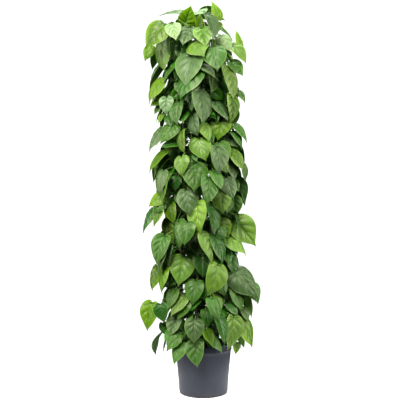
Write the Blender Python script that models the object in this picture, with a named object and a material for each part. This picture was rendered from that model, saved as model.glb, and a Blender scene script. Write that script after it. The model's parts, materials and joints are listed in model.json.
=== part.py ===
"""Potted heart-leaf philodendron trained up an open mesh column.

Metres, +Z up. The origin is the middle of the pot's flat foot, the front of the plant faces -Y.
Twelve vines stand in the soil round the mesh column. Each is one solid: its stem, petioles and leaves.
The leaves of the front are listed where the photograph shows them. The rest follow a seeded rule.
"""

import math
import random

import bmesh
import bpy
from mathutils import Vector
from mathutils.bvhtree import BVHTree

# Pot: a moulded nursery container
POT_HEIGHT = 0.240
RIM_RADIUS = 0.135
FOOT_RADIUS = 0.1145
FOOT_ROUNDING = 0.004
WALL = 0.002
BASE_THICKNESS = 0.003
BAND_BOTTOM = 0.208
BAND_STEP = 0.0035
BAND_DRAFT = 0.0005
BAND_WALL = 0.003
EDGE = 0.001
LIP = 0.003
POT_SEGMENTS = 32
DRAIN_HOLES = 8
DRAIN_HOLE_RADIUS = 0.007
DRAIN_HOLE_SIDES = 8
DRAIN_CUT = (-0.005, 0.010)
DRAIN_CIRCLE = 0.078
SLOTS = 6
SLOT_SIZE = (0.016, 0.042, 0.012)

# Soil
SOIL_TOP = 0.200
GAP = 0.0006
CUT_ABOVE = 0.030
STEM_HOLE_CLEARANCE = 0.002

# Mesh column, leaning a little to the left of the pot's axis
LEAN = 0.026
CAGE_RADIUS = 0.088
CAGE_SIDES = 8
CAGE_ROWS = 9
CAGE_BOTTOM = 0.150
CAGE_TOP = 1.715
CAGE_BAR = 0.004
CAGE_THICKNESS = 0.003

# Vines
VINES = 12
STEM_REACH = 0.097
STEM_BOTTOM = 0.135
STEM_TOPS = (1.66, 1.79)
STEM_RADII = (0.0045, 0.0022)
STEM_STEPS = 8
STEM_SIDES = 4
TWIST = math.radians(35.0)
CROWN_START = 1.735
CROWN_PULL = 0.8
SHORTEST_BEND = 0.005

# Leaves: half outlines as shares of half the width and of the length, from the petiole to the tip
LARGE_OUTLINE = ((0.48, -0.10), (0.93, 0.05), (0.96, 0.42), (0.50, 0.78))
SMALL_OUTLINE = ((0.56, -0.10), (1.0, 0.20), (0.70, 0.65))
LARGE_LEAF = 0.138
WIDTH_TO_LENGTH = 0.84
BLADE = 0.0010
NECK = 0.0024
ARCH = 0.05
LARGEST_BREADTH = 0.125
FOLD_RANGE = (-14.0, 16.0)
CLEARANCE = 0.0016

# Petioles: how far above its blade's base one leaves the stem, and what makes one stem better than another
PETIOLE_WIDTH = 0.0032
PETIOLE_ROOT = ((-1.0, 0.6), (1.0, 0.6), (0.0, -1.0))
PETIOLE_ROOT_RADIUS = 0.0019
PETIOLE_CLEARANCE = 0.003
ROOT_RISES = (0.030, 0.045, 0.015, 0.060, 0.0, -0.015, -0.03)
ROOT_ABOVE_SOIL = 0.030
ROOT_BELOW_TOP = 0.004
ROOT_SPACING = 0.009
ROOT_NEIGHBOURS = 0.054
ROOT_CLEAR = 0.007
LEAST_LEAN = 0.28
NEIGHBOUR_COST = 0.008
CROWDING_COST = 0.5
LEAN_COST = 0.5
STEM_RANKS = 3

# Where the blades hang: distance of a blade's base from the column's middle
SHELL = 0.140
SHELL_TAPER_START = 1.60
SHELL_TAPER = 0.45
OVER_RIM = 0.330
RIM_CLEARANCE = 0.160
OUTER_SHELL = 0.235
LEAST_DEPTH = 0.020
STEP_OUT = 0.006
RULE_STEPS = 6
STEPS_BEHIND = 8
NARROWING = (1.0, 0.85, 0.7)

# Front leaves, in millimetres, read where each line of sight meets the upright plane of the pot's axis:
# base across, base height, tip across, tip height, breadth seen
VIEW_POINT = Vector((-0.016, -3.6, 0.92))
LEAST_NOD = math.radians(16.0)
FACING_REACH = 0.20
SIDES_FIRST = 0.35
FRONT_LEAVES = (
    # Crown
    (-190, 1760, -275, 1640, 105),
    (-195, 1690, -180, 1525, 80),
    (-250, 1655, -285, 1585, 55),
    (-150, 1760, -130, 1675, 80),
    (-175, 1725, -160, 1605, 45),
    (-85, 1765, -55, 1835, 85),
    (-15, 1745, -15, 1810, 40),
    (20, 1810, 60, 1680, 55),
    (75, 1785, 40, 1870, 50),
    (75, 1770, 75, 1725, 30),
    (90, 1705, 130, 1625, 65),
    (180, 1655, 155, 1735, 30),
    (135, 1660, 210, 1570, 55),
    (-5, 1740, 10, 1640, 95),
    (-40, 1680, 0, 1585, 120),
    # Upper column
    (-50, 1615, -90, 1450, 125),
    (50, 1650, 60, 1525, 115),
    (-40, 1540, -115, 1390, 95),
    (-15, 1560, 60, 1500, 40),
    (135, 1580, 190, 1510, 60),
    (120, 1550, 145, 1390, 65),
    (170, 1440, 200, 1385, 30),
    (-15, 1445, -5, 1270, 95),
    (60, 1385, 120, 1295, 50),
    (135, 1415, 130, 1285, 60),
    (-175, 1410, -175, 1325, 70),
    (-210, 1480, -240, 1385, 45),
    (-205, 1500, -265, 1380, 55),
    (-195, 1405, -255, 1365, 45),
    (-115, 1385, -125, 1270, 60),
    (-55, 1435, -60, 1335, 65),
    (-215, 1360, -235, 1330, 25),
    # Above the middle
    (-140, 1280, -205, 1185, 70),
    (-205, 1260, -260, 1145, 40),
    (-190, 1330, -215, 1285, 25),
    (-160, 1325, -150, 1265, 60),
    (-100, 1245, -90, 1135, 40),
    (-120, 1190, -205, 1170, 40),
    (-25, 1215, 5, 1100, 105),
    (-50, 1320, -25, 1215, 60),
    (0, 1285, 30, 1195, 60),
    (90, 1315, 70, 1200, 100),
    (125, 1285, 125, 1245, 40),
    (150, 1280, 210, 1195, 35),
    (140, 1245, 185, 1160, 35),
    (110, 1230, 180, 1165, 50),
    (65, 1170, 75, 1035, 85),
    (115, 1120, 155, 1010, 65),
    (135, 1155, 190, 1055, 55),
    (190, 1095, 200, 1000, 30),
    (-160, 1155, -265, 1045, 35),
    (-170, 1125, -240, 1025, 35),
    (-105, 1125, -100, 1030, 70),
    (-40, 1090, -35, 955, 125),
    (-195, 1055, -215, 945, 55),
    (-170, 1035, -195, 890, 35),
    (-125, 1030, -140, 960, 55),
    # Middle
    (-195, 940, -265, 890, 60),
    (-185, 910, -245, 860, 55),
    (-245, 875, -290, 760, 30),
    (-205, 865, -240, 790, 35),
    (-155, 895, -140, 805, 60),
    (-80, 965, -65, 840, 105),
    (-30, 900, -10, 755, 95),
    (25, 1025, 15, 895, 85),
    (85, 960, 90, 850, 95),
    (50, 1055, 85, 965, 55),
    (135, 1015, 170, 955, 40),
    (110, 1015, 120, 970, 50),
    (145, 930, 155, 835, 80),
    (150, 820, 250, 695, 125),
    (30, 890, 55, 750, 60),
    (75, 785, 100, 730, 55),
    (-165, 830, -135, 700, 60),
    (-120, 815, -115, 675, 60),
    (-75, 810, -85, 700, 85),
    # Below the middle
    (-190, 745, -230, 610, 85),
    (-190, 730, -215, 555, 40),
    (-225, 600, -250, 480, 50),
    (-185, 610, -205, 470, 45),
    (-155, 590, -195, 485, 60),
    (-160, 695, -165, 595, 45),
    (-95, 645, -120, 510, 120),
    (10, 760, 35, 615, 60),
    (50, 745, 95, 610, 60),
    (110, 745, 210, 660, 65),
    (150, 580, 260, 445, 120),
    (225, 515, 265, 420, 65),
    (125, 650, 145, 560, 55),
    (145, 500, 185, 385, 65),
    (70, 605, 25, 455, 105),
    (-35, 530, -55, 420, 90),
    (40, 445, 65, 345, 75),
    (-90, 460, -155, 360, 65),
    (-80, 440, -120, 345, 60),
    (-140, 490, -170, 395, 55),
    # Foot of the column
    (-205, 420, -185, 330, 70),
    (-245, 425, -265, 290, 85),
    (-195, 330, -180, 270, 45),
    (-120, 365, -165, 265, 70),
    (-120, 275, -175, 195, 60),
    (-105, 235, -145, 135, 65),
    (-40, 345, -50, 235, 95),
    (-30, 245, -35, 120, 90),
    (15, 300, 40, 220, 50),
    (35, 275, 90, 190, 50),
    (65, 365, 105, 225, 55),
    (145, 355, 115, 200, 85),
    (180, 355, 240, 210, 70),
    (155, 235, 155, 180, 35),
    (120, 425, 165, 365, 45),
    (185, 400, 215, 335, 40),
    (10, 390, 25, 310, 55),
)

# Leaves of the sides, the back, the crown's top and the dark middle, by rule
SEED = 11
ROW_STEP = 0.090
ROWS_FROM = 0.300
ROWS_TO = 1.700
PER_ROW = 15
ATTEMPTS = 5
FRONT_SECTOR = math.radians(50.0)
RULE_LENGTHS = (0.105, 0.145)
ANGLE_SPREAD = 0.12
HEIGHT_SPREAD = 0.020
REACH_SPREAD = 0.015
NOD_RANGE = (0.15, 0.55)
LEAN_SPREAD = 0.45
TURN_SPREAD = 0.6
FACE_UP = 0.2
CROWN_LEAN = 0.3
CROWN_CLIMB = 0.5
CROWN_RINGS = (
    # first angle, reach, height, nod from hanging, leaves
    (0.2, 0.025, 1.805, 1.35, 4),
    (0.9, 0.060, 1.785, 1.20, 7),
    (0.0, 0.100, 1.755, 0.90, 11),
    (0.3, 0.125, 1.700, 0.60, 13),
)
INNER_SHELL = 0.125
INNER_LENGTHS = (0.085, 0.110)
MIDDLE = 0.4
MIDDLE_OUT = 0.030
NEAR = 0.080
FACING = 0.6

SMOOTH_ANGLE = 30.0
LEAF_SMOOTH_ANGLE = 25.0


def clear_scene():
    for item in list(bpy.data.objects):
        bpy.data.objects.remove(item, do_unlink=True)


def plain_material(name, colour, roughness):
    material = bpy.data.materials.new(name)
    material.use_nodes = True
    shader = material.node_tree.nodes["Principled BSDF"]
    shader.inputs["Base Color"].default_value = (*colour, 1.0)
    shader.inputs["Roughness"].default_value = roughness
    shader.inputs["Metallic"].default_value = 0.0
    return material


def add_object(name, shape, material=None):
    """Turn a bmesh into an object of the scene."""
    bmesh.ops.recalc_face_normals(shape, faces=shape.faces)
    mesh = bpy.data.meshes.new(name)
    shape.to_mesh(mesh)
    shape.free()
    item = bpy.data.objects.new(name, mesh)
    bpy.context.scene.collection.objects.link(item)
    if material:
        mesh.materials.append(material)
    return item


def smooth(item, degrees):
    item.data.shade_smooth()
    item.data.set_sharp_from_angle(angle=math.radians(degrees))


def new_collection(name):
    group = bpy.data.collections.new(name)
    bpy.context.scene.collection.children.link(group)
    return group


def move_to(item, group):
    bpy.context.scene.collection.objects.unlink(item)
    group.objects.link(item)


def apply_boolean(item, group, operation, solver):
    """Join a collection to an object, or cut it out, and remove the collection's objects."""
    boolean = item.modifiers.new("Boolean", "BOOLEAN")
    boolean.operand_type = "COLLECTION"
    boolean.collection = group
    boolean.operation = operation
    boolean.solver = solver
    bpy.context.view_layer.objects.active = item
    bpy.ops.object.modifier_apply(modifier=boolean.name)
    for used in list(group.objects):
        bpy.data.objects.remove(used, do_unlink=True)
    bpy.data.collections.remove(group)


def turned(profile, segments):
    """Body of revolution round Z from an open profile that starts and ends on the axis."""
    shape = bmesh.new()
    vertices = [shape.verts.new((radius, 0.0, height)) for radius, height in profile]
    edges = [shape.edges.new(pair) for pair in zip(vertices, vertices[1:])]
    bmesh.ops.spin(
        shape, geom=vertices + edges, cent=(0, 0, 0), axis=(0, 0, 1),
        angle=math.tau, steps=segments, use_merge=True,
    )
    bmesh.ops.remove_doubles(shape, verts=shape.verts, dist=1e-6)
    return shape


def tube(points, radii, sides):
    """Closed tube along points, with level rings; it suits paths that climb."""
    shape = bmesh.new()
    rings = []
    for point, radius in zip(points, radii):
        ring = []
        for side in range(sides):
            angle = math.tau * (side + 0.5) / sides
            ring.append(shape.verts.new(point + Vector((math.cos(angle), math.sin(angle), 0.0)) * radius))
        rings.append(ring)
    for lower, upper in zip(rings, rings[1:]):
        for side in range(sides):
            after = (side + 1) % sides
            shape.faces.new((lower[side], lower[after], upper[after], upper[side]))
    shape.faces.new(rings[0])
    shape.faces.new(rings[-1])
    return shape


# Pot and soil

def wall_radius(height):
    """Outside of the tapered wall below the rim band."""
    top = RIM_RADIUS - BAND_STEP
    return FOOT_RADIUS + (top - FOOT_RADIUS) * height / BAND_BOTTOM


def make_pot():
    profile = (
        (0.0, 0.0),
        (FOOT_RADIUS - FOOT_ROUNDING, 0.0),
        (wall_radius(FOOT_ROUNDING), FOOT_ROUNDING),
        (wall_radius(BAND_BOTTOM), BAND_BOTTOM),
        (RIM_RADIUS - BAND_DRAFT, BAND_BOTTOM + EDGE),
        (RIM_RADIUS, POT_HEIGHT - LIP),
        (RIM_RADIUS - EDGE, POT_HEIGHT),
        (RIM_RADIUS - BAND_WALL, POT_HEIGHT - EDGE),
        (wall_radius(BAND_BOTTOM) - WALL, BAND_BOTTOM - WALL),
        (wall_radius(BASE_THICKNESS) - WALL, BASE_THICKNESS),
        (0.0, BASE_THICKNESS),
    )
    material = plain_material("pot", (0.062, 0.064, 0.080), 0.45)
    pot = add_object("pot", turned(profile, POT_SEGMENTS), material)
    cutters = new_collection("pot_cutters")
    for hole in range(DRAIN_HOLES):
        angle = math.tau * hole / DRAIN_HOLES
        centre = Vector((math.cos(angle), math.sin(angle), 0.0)) * DRAIN_CIRCLE
        ends = [centre + Vector((0.0, 0.0, height)) for height in DRAIN_CUT]
        move_to(add_object("drain", tube(ends, (DRAIN_HOLE_RADIUS,) * 2, DRAIN_HOLE_SIDES)), cutters)
    for slot in range(SLOTS):
        angle = math.tau * slot / SLOTS - math.pi / 2
        shape = bmesh.new()
        bmesh.ops.create_cube(shape, size=1.0)
        bmesh.ops.scale(shape, vec=SLOT_SIZE, verts=shape.verts)
        cutter = add_object("slot", shape)
        cutter.location = (FOOT_RADIUS * math.cos(angle), FOOT_RADIUS * math.sin(angle), 0.0)
        cutter.rotation_euler.z = angle
        move_to(cutter, cutters)
    apply_boolean(pot, cutters, "DIFFERENCE", "EXACT")
    smooth(pot, SMOOTH_ANGLE)
    return pot


def make_soil(vines):
    bottom = BASE_THICKNESS + GAP
    profile = (
        (0.0, bottom),
        (wall_radius(bottom) - WALL - GAP, bottom),
        (wall_radius(SOIL_TOP) - WALL - GAP, SOIL_TOP),
        (0.0, SOIL_TOP),
    )
    material = plain_material("soil", (0.035, 0.022, 0.014), 0.95)
    soil = add_object("soil", turned(profile, POT_SEGMENTS), material)
    cutters = new_collection("soil_cutters")
    top = SOIL_TOP + CUT_ABOVE
    move_to(cage_wall("groove", CAGE_BOTTOM - GAP, top, 1, CAGE_THICKNESS + 2 * GAP), cutters)
    hole_radius = STEM_RADII[0] + STEM_HOLE_CLEARANCE
    for vine in vines:
        ends = (vine_point(vine, STEM_BOTTOM - GAP), vine_point(vine, top))
        move_to(add_object("stem_hole", tube(ends, (hole_radius,) * 2, STEM_SIDES)), cutters)
    apply_boolean(soil, cutters, "DIFFERENCE", "EXACT")
    smooth(soil, SMOOTH_ANGLE)
    return soil


# Mesh column

def axis_at(height):
    """Middle of the column at a height."""
    return Vector((-LEAN * (height - SOIL_TOP), 0.0, height))


def outward(angle):
    """Level direction away from the column: 0 is the front and a right angle is the right side."""
    return Vector((math.sin(angle), -math.cos(angle), 0.0))


def cage_wall(name, bottom, top, rows, thickness):
    """Thin leaning prism wall, open at both ends."""
    shape = bmesh.new()
    rings = []
    for row in range(rows + 1):
        height = bottom + (top - bottom) * row / rows
        ring = []
        for side in range(CAGE_SIDES):
            angle = math.tau * (side + 0.5) / CAGE_SIDES
            ring.append(shape.verts.new(axis_at(height) + outward(angle) * CAGE_RADIUS))
        rings.append(ring)
    for lower, upper in zip(rings, rings[1:]):
        for side in range(CAGE_SIDES):
            after = (side + 1) % CAGE_SIDES
            shape.faces.new((lower[side], lower[after], upper[after], upper[side]))
    wall = add_object(name, shape)
    solidify = wall.modifiers.new("Solidify", "SOLIDIFY")
    solidify.thickness = thickness
    solidify.offset = 0.0
    solidify.use_even_offset = True
    return wall


def make_column():
    column = cage_wall("support_column", CAGE_BOTTOM, CAGE_TOP, CAGE_ROWS, CAGE_THICKNESS)
    shape = bmesh.new()
    shape.from_mesh(column.data)
    windows = list(shape.faces)
    bmesh.ops.inset_individual(shape, faces=windows, thickness=CAGE_BAR / 2, use_even_offset=True)
    bmesh.ops.delete(shape, geom=windows, context="FACES_ONLY")
    shape.to_mesh(column.data)
    shape.free()
    column.data.materials.append(plain_material("support_column", (0.012, 0.013, 0.014), 0.5))
    return column


# Vines

def make_vines(draw):
    """Angle at the pot's floor and top height of each vine."""
    vines = []
    for number in range(VINES):
        angle = math.tau * number / VINES
        vines.append({"angle": angle, "top": draw.uniform(*STEM_TOPS), "roots": []})
    return vines


def vine_point(vine, height):
    """Middle of a stem at a height: up the column with a slight twist, and inward over its top."""
    reach = STEM_REACH - CROWN_PULL * max(0.0, height - CROWN_START)
    return axis_at(height) + outward(vine["angle"] + TWIST * height) * reach


def stem_heights(vine):
    """Heights of a stem's rings: even steps up to the bend over the column's top, then the tip."""
    straight = min(vine["top"], CROWN_START)
    heights = [STEM_BOTTOM + (straight - STEM_BOTTOM) * step / STEM_STEPS for step in range(STEM_STEPS + 1)]
    if vine["top"] > CROWN_START + SHORTEST_BEND:
        heights.append(vine["top"])
    return heights


def stem_shape(vine, extra=0.0):
    heights = stem_heights(vine)
    points = [vine_point(vine, height) for height in heights]
    slimming = (STEM_RADII[1] - STEM_RADII[0]) / (heights[-1] - heights[0])
    radii = [STEM_RADII[0] + slimming * (height - heights[0]) + extra for height in heights]
    return tube(points, radii, STEM_SIDES)


# Leaves

def shell_radius(height):
    """Distance of the innermost blade bases from the column's middle."""
    if height < OVER_RIM:
        return RIM_CLEARANCE
    return SHELL - SHELL_TAPER * max(0.0, height - SHELL_TAPER_START)


def half_outline(leaf):
    return LARGE_OUTLINE if leaf["length"] >= LARGE_LEAF else SMALL_OUTLINE


def leaf_lift(leaf, across, along):
    """Height of the blade above the chord from its base to its tip: an arch and a fold at the midrib."""
    arch = ARCH * leaf["length"] * 4.0 * max(0.0, along) * (1.0 - along)
    return arch - math.tan(leaf["fold"]) * abs(across) * leaf["width"] / 2


def leaf_point(leaf, across, along, lift=0.0):
    """Place on a leaf, across in half widths and along in lengths."""
    return (
        leaf["base"]
        + leaf["side"] * (across * leaf["width"] / 2)
        + leaf["along"] * (along * leaf["length"])
        + leaf["face"] * lift
    )


def root_choices(leaf, vine):
    """Possible roots on a stem, best first, each with how far its petiole leans off the blade's plane."""
    rises = ROOT_RISES if leaf["along"].z < 0 else tuple(-rise for rise in ROOT_RISES)
    lowest = SOIL_TOP + ROOT_ABOVE_SOIL
    highest = vine["top"] - ROOT_BELOW_TOP
    for rise in rises:
        height = min(max(leaf["base"].z + rise, lowest), highest)
        root = vine_point(vine, height)
        yield height, root, (root - leaf["base"]).normalized().dot(-leaf["along"])


def choose_root(leaf, vines, rank):
    """Stem and height that the petiole grows from, apart from that stem's other petioles.

    Rank 0 takes the best stem, rank 1 the next best.
    """
    choices = []
    for vine in vines:
        best = None
        for height, root, lean in root_choices(leaf, vine):
            crowding = sum(abs(height - used) < ROOT_SPACING for used in vine["roots"])
            neighbours = sum(abs(height - used) < ROOT_NEIGHBOURS for used in vine["roots"])
            cost = (root - leaf["base"]).length + NEIGHBOUR_COST * neighbours + CROWDING_COST * crowding
            cost += LEAN_COST * max(0.0, LEAST_LEAN - lean)
            if best is None or cost < best[0]:
                best = (cost, vine, height, root)
        choices.append(best)
    best = sorted(choices, key=lambda choice: choice[0])[rank]
    leaf["vine"] = best[1]
    leaf["root_height"] = best[2]
    leaf["root"] = best[3]


def finish_leaf(leaf, vines, rank=0):
    """Complete the directions of a leaf whose base, along, face and size are set."""
    along = leaf["along"].normalized()
    face = leaf["face"] - along * leaf["face"].dot(along)
    leaf["along"] = along
    leaf["face"] = face.normalized()
    leaf["side"] = along.cross(leaf["face"])
    choose_root(leaf, vines, rank)


def front_depth(row, reach):
    """Place along Y at which a front leaf's base is as far from the column's middle as asked, or nearly."""
    off = row[0] / 1000.0 - axis_at(row[1] / 1000.0).x
    return -math.sqrt(max(reach ** 2 - off ** 2, LEAST_DEPTH ** 2))


def front_leaf(row, fold, depth, vines, rank):
    """Leaf of the front list, its base on its line of sight at a place along Y."""
    base_across, base_height, tip_across, tip_height, breadth = (value / 1000.0 for value in row)
    off = base_across - axis_at(base_height).x
    nearer = (depth - VIEW_POINT.y) / -VIEW_POINT.y
    base = VIEW_POINT.lerp(Vector((base_across, 0.0, base_height)), nearer)
    seen = Vector((tip_across - base_across, 0.0, tip_height - base_height)) * nearer
    breadth = min(breadth, LARGEST_BREADTH) * nearer
    facing = min(1.0, abs(off) / FACING_REACH)
    least_nod = LEAST_NOD * (1.0 - facing)
    length = max(seen.length / math.cos(least_nod), breadth / WIDTH_TO_LENGTH)
    along = seen - Vector((0.0, math.sqrt(length ** 2 - seen.length ** 2), 0.0))
    width = length * WIDTH_TO_LENGTH
    turn = math.acos(min(1.0, breadth / width))
    along.normalize()
    view = (VIEW_POINT - base).normalized()
    face = (view - along * view.dot(along)).normalized()
    side = along.cross(face)
    if side.x * off < 0:
        side = -side
    face = face * math.cos(turn) + side * math.sin(turn)
    leaf = {"base": base, "along": along, "face": face, "length": length, "width": width, "fold": fold}
    finish_leaf(leaf, vines, rank)
    return leaf


def rule_leaf(angle, height, reach, nod, lean, turn, length, fold, vines):
    """Leaf hanging from a place round the column."""
    base = axis_at(height) + outward(angle) * reach
    across = outward(angle + math.pi / 2)
    along = outward(angle) * math.sin(nod) + Vector((0.0, 0.0, -math.cos(nod))) + across * math.tan(lean)
    face = outward(angle + turn) + Vector((0.0, 0.0, FACE_UP))
    leaf = {
        "base": base, "along": along, "face": face, "length": length,
        "width": length * WIDTH_TO_LENGTH, "fold": fold,
    }
    finish_leaf(leaf, vines)
    return leaf


def guard_tree(leaf):
    """Slightly fat stand-in for a leaf and the free part of its petiole, to keep leaves apart."""
    half = half_outline(leaf)
    outline = [(0.0, 0.0), *half, (0.0, 1.0)]
    outline += [(-across, along) for across, along in reversed(half)]
    front = []
    back = []
    for across, along in outline:
        lift = leaf_lift(leaf, across, along)
        front.append(leaf_point(leaf, across, along, lift + CLEARANCE))
        back.append(leaf_point(leaf, across, along, lift - CLEARANCE))
    middle = leaf_point(leaf, 0.0, MIDDLE, leaf_lift(leaf, 0.0, MIDDLE) + CLEARANCE)
    count = len(outline)
    points = front + back + [middle]
    faces = [(point, (point + 1) % count, 2 * count) for point in range(count)]
    faces += [(count, count + point, count + point + 1) for point in range(1, count - 1)]
    for point in range(count):
        after = (point + 1) % count
        faces.append((point, after, count + after, count + point))
    start = len(points)
    free = leaf["root"] + (leaf["base"] - leaf["root"]).normalized() * ROOT_CLEAR
    for centre in (leaf["base"], free):
        for spread in ((1, 0), (0, 1), (-1, 0), (0, -1)):
            aside = leaf["side"] * spread[0] + leaf["face"] * spread[1]
            points.append(centre + aside * PETIOLE_CLEARANCE)
    for corner in range(4):
        after = (corner + 1) % 4
        faces.append((start + corner, start + after, start + 4 + after, start + 4 + corner))
    return guard(points, faces, leaf["vine"])


def guard(points, faces, owner):
    low = Vector(min(point[axis] for point in points) for axis in range(3))
    high = Vector(max(point[axis] for point in points) for axis in range(3))
    return {"tree": BVHTree.FromPolygons(points, faces), "low": low, "high": high, "owner": owner}


def shape_guard(shape, owner):
    shape.verts.index_update()
    points = [vertex.co.copy() for vertex in shape.verts]
    faces = [[vertex.index for vertex in face.verts] for face in shape.faces]
    shape.free()
    return guard(points, faces, owner)


def touches(one, other):
    for axis in range(3):
        if one["low"][axis] > other["high"][axis] or other["low"][axis] > one["high"][axis]:
            return False
    return bool(one["tree"].overlap(other["tree"]))


def is_free(mine, leaf_guards, fixed_guards):
    if any(touches(mine, other) for other in leaf_guards):
        return False
    return not any(touches(mine, other) for other in fixed_guards if other["owner"] is not mine["owner"])


def settle(slides, leaf_guards, fixed_guards):
    """Slide a leaf in from outside until it would touch; a slide lists its places from the outermost in.

    The first slide with a free place is taken, and the leaf stays at the innermost place reached.
    """
    for slide in slides:
        found = None
        for leaf in slide:
            mine = guard_tree(leaf)
            if is_free(mine, leaf_guards, fixed_guards):
                found = (leaf, mine)
            elif found:
                break
        if found:
            leaf, mine = found
            leaf_guards.append(mine)
            leaf["vine"]["roots"].append(leaf["root_height"])
            return leaf
    return None


def front_slides(row, fold, vines):
    """Slides of a front leaf along its line of sight, then of one turned further from the viewer."""
    inner = front_depth(row, shell_radius(row[1] / 1000.0))
    outer = front_depth(row, OUTER_SHELL)
    beside = abs(row[0]) > 1000.0 * SHELL
    inward = [inner - STEP_OUT * step for step in range(int((inner - outer) / STEP_OUT), -1, -1)]
    behind = [inner + STEP_OUT * step for step in range(1, STEPS_BEHIND)] if beside else []
    for factor in NARROWING:
        narrowed = row[:4] + (row[4] * factor,)
        for rank in range(STEM_RANKS):
            for depths in (inward, behind):
                yield (front_leaf(narrowed, fold, depth, vines, rank) for depth in depths)


def rule_slides(places, vines):
    """Slides of a leaf at a few drawn places."""
    for angle, height, reach, nod, lean, turn, length, fold, climb in places:
        yield (
            rule_leaf(
                angle, height + STEP_OUT * step * climb, reach + STEP_OUT * step * (1.0 - climb),
                nod, lean, turn, length, fold, vines,
            )
            for step in range(RULE_STEPS, -1, -1)
        )


def drawn_place(draw, angle, height, inner):
    """One draw of a hanging leaf near an angle and a height."""
    angle += draw.uniform(-ANGLE_SPREAD, ANGLE_SPREAD)
    height += draw.uniform(-HEIGHT_SPREAD, HEIGHT_SPREAD)
    length = draw.uniform(*(INNER_LENGTHS if inner else RULE_LENGTHS))
    reach = shell_radius(height) + draw.uniform(0.0, REACH_SPREAD)
    if inner and height >= OVER_RIM:
        reach = INNER_SHELL
    nod = draw.uniform(*NOD_RANGE)
    fold = math.radians(draw.uniform(*FOLD_RANGE))
    lean = draw.uniform(-LEAN_SPREAD, LEAN_SPREAD)
    turn = draw.uniform(-TURN_SPREAD, TURN_SPREAD)
    return angle, height, reach, nod, lean, turn, length, fold, 0.0


def is_bare(place, placed):
    """Whether no leaf that faces the same way already covers a drawn place."""
    angle, height, reach, length = place[0], place[1], place[2], place[6]
    middle = axis_at(height) + outward(angle) * (reach + MIDDLE_OUT) - Vector((0.0, 0.0, MIDDLE * length))
    facing = [leaf for leaf in placed if abs(leaf["face"].dot(outward(angle))) > FACING]
    return all((leaf_point(leaf, 0.0, MIDDLE) - middle).length > NEAR for leaf in facing)


def rule_places(draw, placed):
    """Draws for the sides' and back's leaves in staggered rows, and for an inner layer at the front."""
    rows = int((ROWS_TO - ROWS_FROM) / ROW_STEP) + 1
    for row in range(rows):
        height = ROWS_FROM + row * ROW_STEP
        for column in range(PER_ROW):
            angle = math.remainder(math.tau * (column + 0.5 * (row % 2)) / PER_ROW, math.tau)
            inner = abs(angle) < FRONT_SECTOR
            places = [drawn_place(draw, angle, height, inner) for attempt in range(ATTEMPTS)]
            yield [place for place in places if is_bare(place, placed)]


def crown_places(draw):
    """Draws for the leaves that roof the top: a ring of shoulders and a few over the middle."""
    for ring_angle, reach, height, nod, count in CROWN_RINGS:
        for number in range(count):
            angle = ring_angle + math.tau * number / count
            places = []
            for attempt in range(ATTEMPTS):
                length = draw.uniform(*RULE_LENGTHS)
                fold = math.radians(draw.uniform(*FOLD_RANGE))
                lean = draw.uniform(-CROWN_LEAN, CROWN_LEAN)
                places.append((angle, height, reach, nod, lean, 0.0, length, fold, CROWN_CLIMB))
            yield places


def place_leaves(vines, draw):
    fixed = [shape_guard(stem_shape(vine, CLEARANCE), vine) for vine in vines]
    rim = RIM_RADIUS + CLEARANCE
    top = POT_HEIGHT + CLEARANCE
    pot_points = ((0.0, 0.0), (FOOT_RADIUS, 0.0), (rim, BAND_BOTTOM), (rim, top), (0.0, top))
    fixed.append(shape_guard(turned(pot_points, POT_SEGMENTS), None))
    ends = (axis_at(CAGE_BOTTOM), axis_at(CAGE_TOP))
    column = tube(ends, (CAGE_RADIUS + CAGE_THICKNESS,) * 2, CAGE_SIDES)
    fixed.append(shape_guard(column, None))
    guards = []
    placed = []
    for row in sorted(FRONT_LEAVES, key=lambda one: one[1] - SIDES_FIRST * abs(one[0])):
        fold = math.radians(draw.uniform(*FOLD_RANGE))
        placed.append(settle(front_slides(row, fold, vines), guards, fixed))
    front = [leaf for leaf in placed if leaf]
    for places in list(crown_places(draw)) + list(rule_places(draw, front)):
        placed.append(settle(rule_slides(places, vines), guards, fixed))
    return [leaf for leaf in placed if leaf]


def blade_layer(shape, leaf, direction, split):
    """One face of a blade as two fans, each from a corner at the petiole, a split apart, to the tip."""
    corners = [shape.verts.new(leaf_point(leaf, -split, 0.0, direction * NECK / 2))]
    if split:
        corners.append(shape.verts.new(leaf_point(leaf, split, 0.0, direction * NECK / 2)))
    tip = shape.verts.new(leaf_point(leaf, 0.0, 1.0, direction * BLADE / 2))
    fans = []
    for sign, corner in ((-1.0, corners[0]), (1.0, corners[-1])):
        fan = [corner]
        for across, along in half_outline(leaf):
            lift = leaf_lift(leaf, across, along) + direction * BLADE / 2
            fan.append(shape.verts.new(leaf_point(leaf, sign * across, along, lift)))
        fan.append(tip)
        for one, other in zip(fan[1:], fan[2:]):
            shape.faces.new((corner, one, other))
        fans.append(fan)
    if split:
        shape.faces.new((corners[0], tip, corners[1]))
    return fans


def petiole_root(shape, leaf):
    """Three-sided ring of a petiole's end inside its stem."""
    axis = (leaf["root"] - leaf["base"]).normalized()
    level = (leaf["side"] - axis * leaf["side"].dot(axis)).normalized()
    upright = axis.cross(level)
    return [
        shape.verts.new(leaf["root"] + (level * across + upright * up) * PETIOLE_ROOT_RADIUS)
        for across, up in PETIOLE_ROOT
    ]


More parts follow.
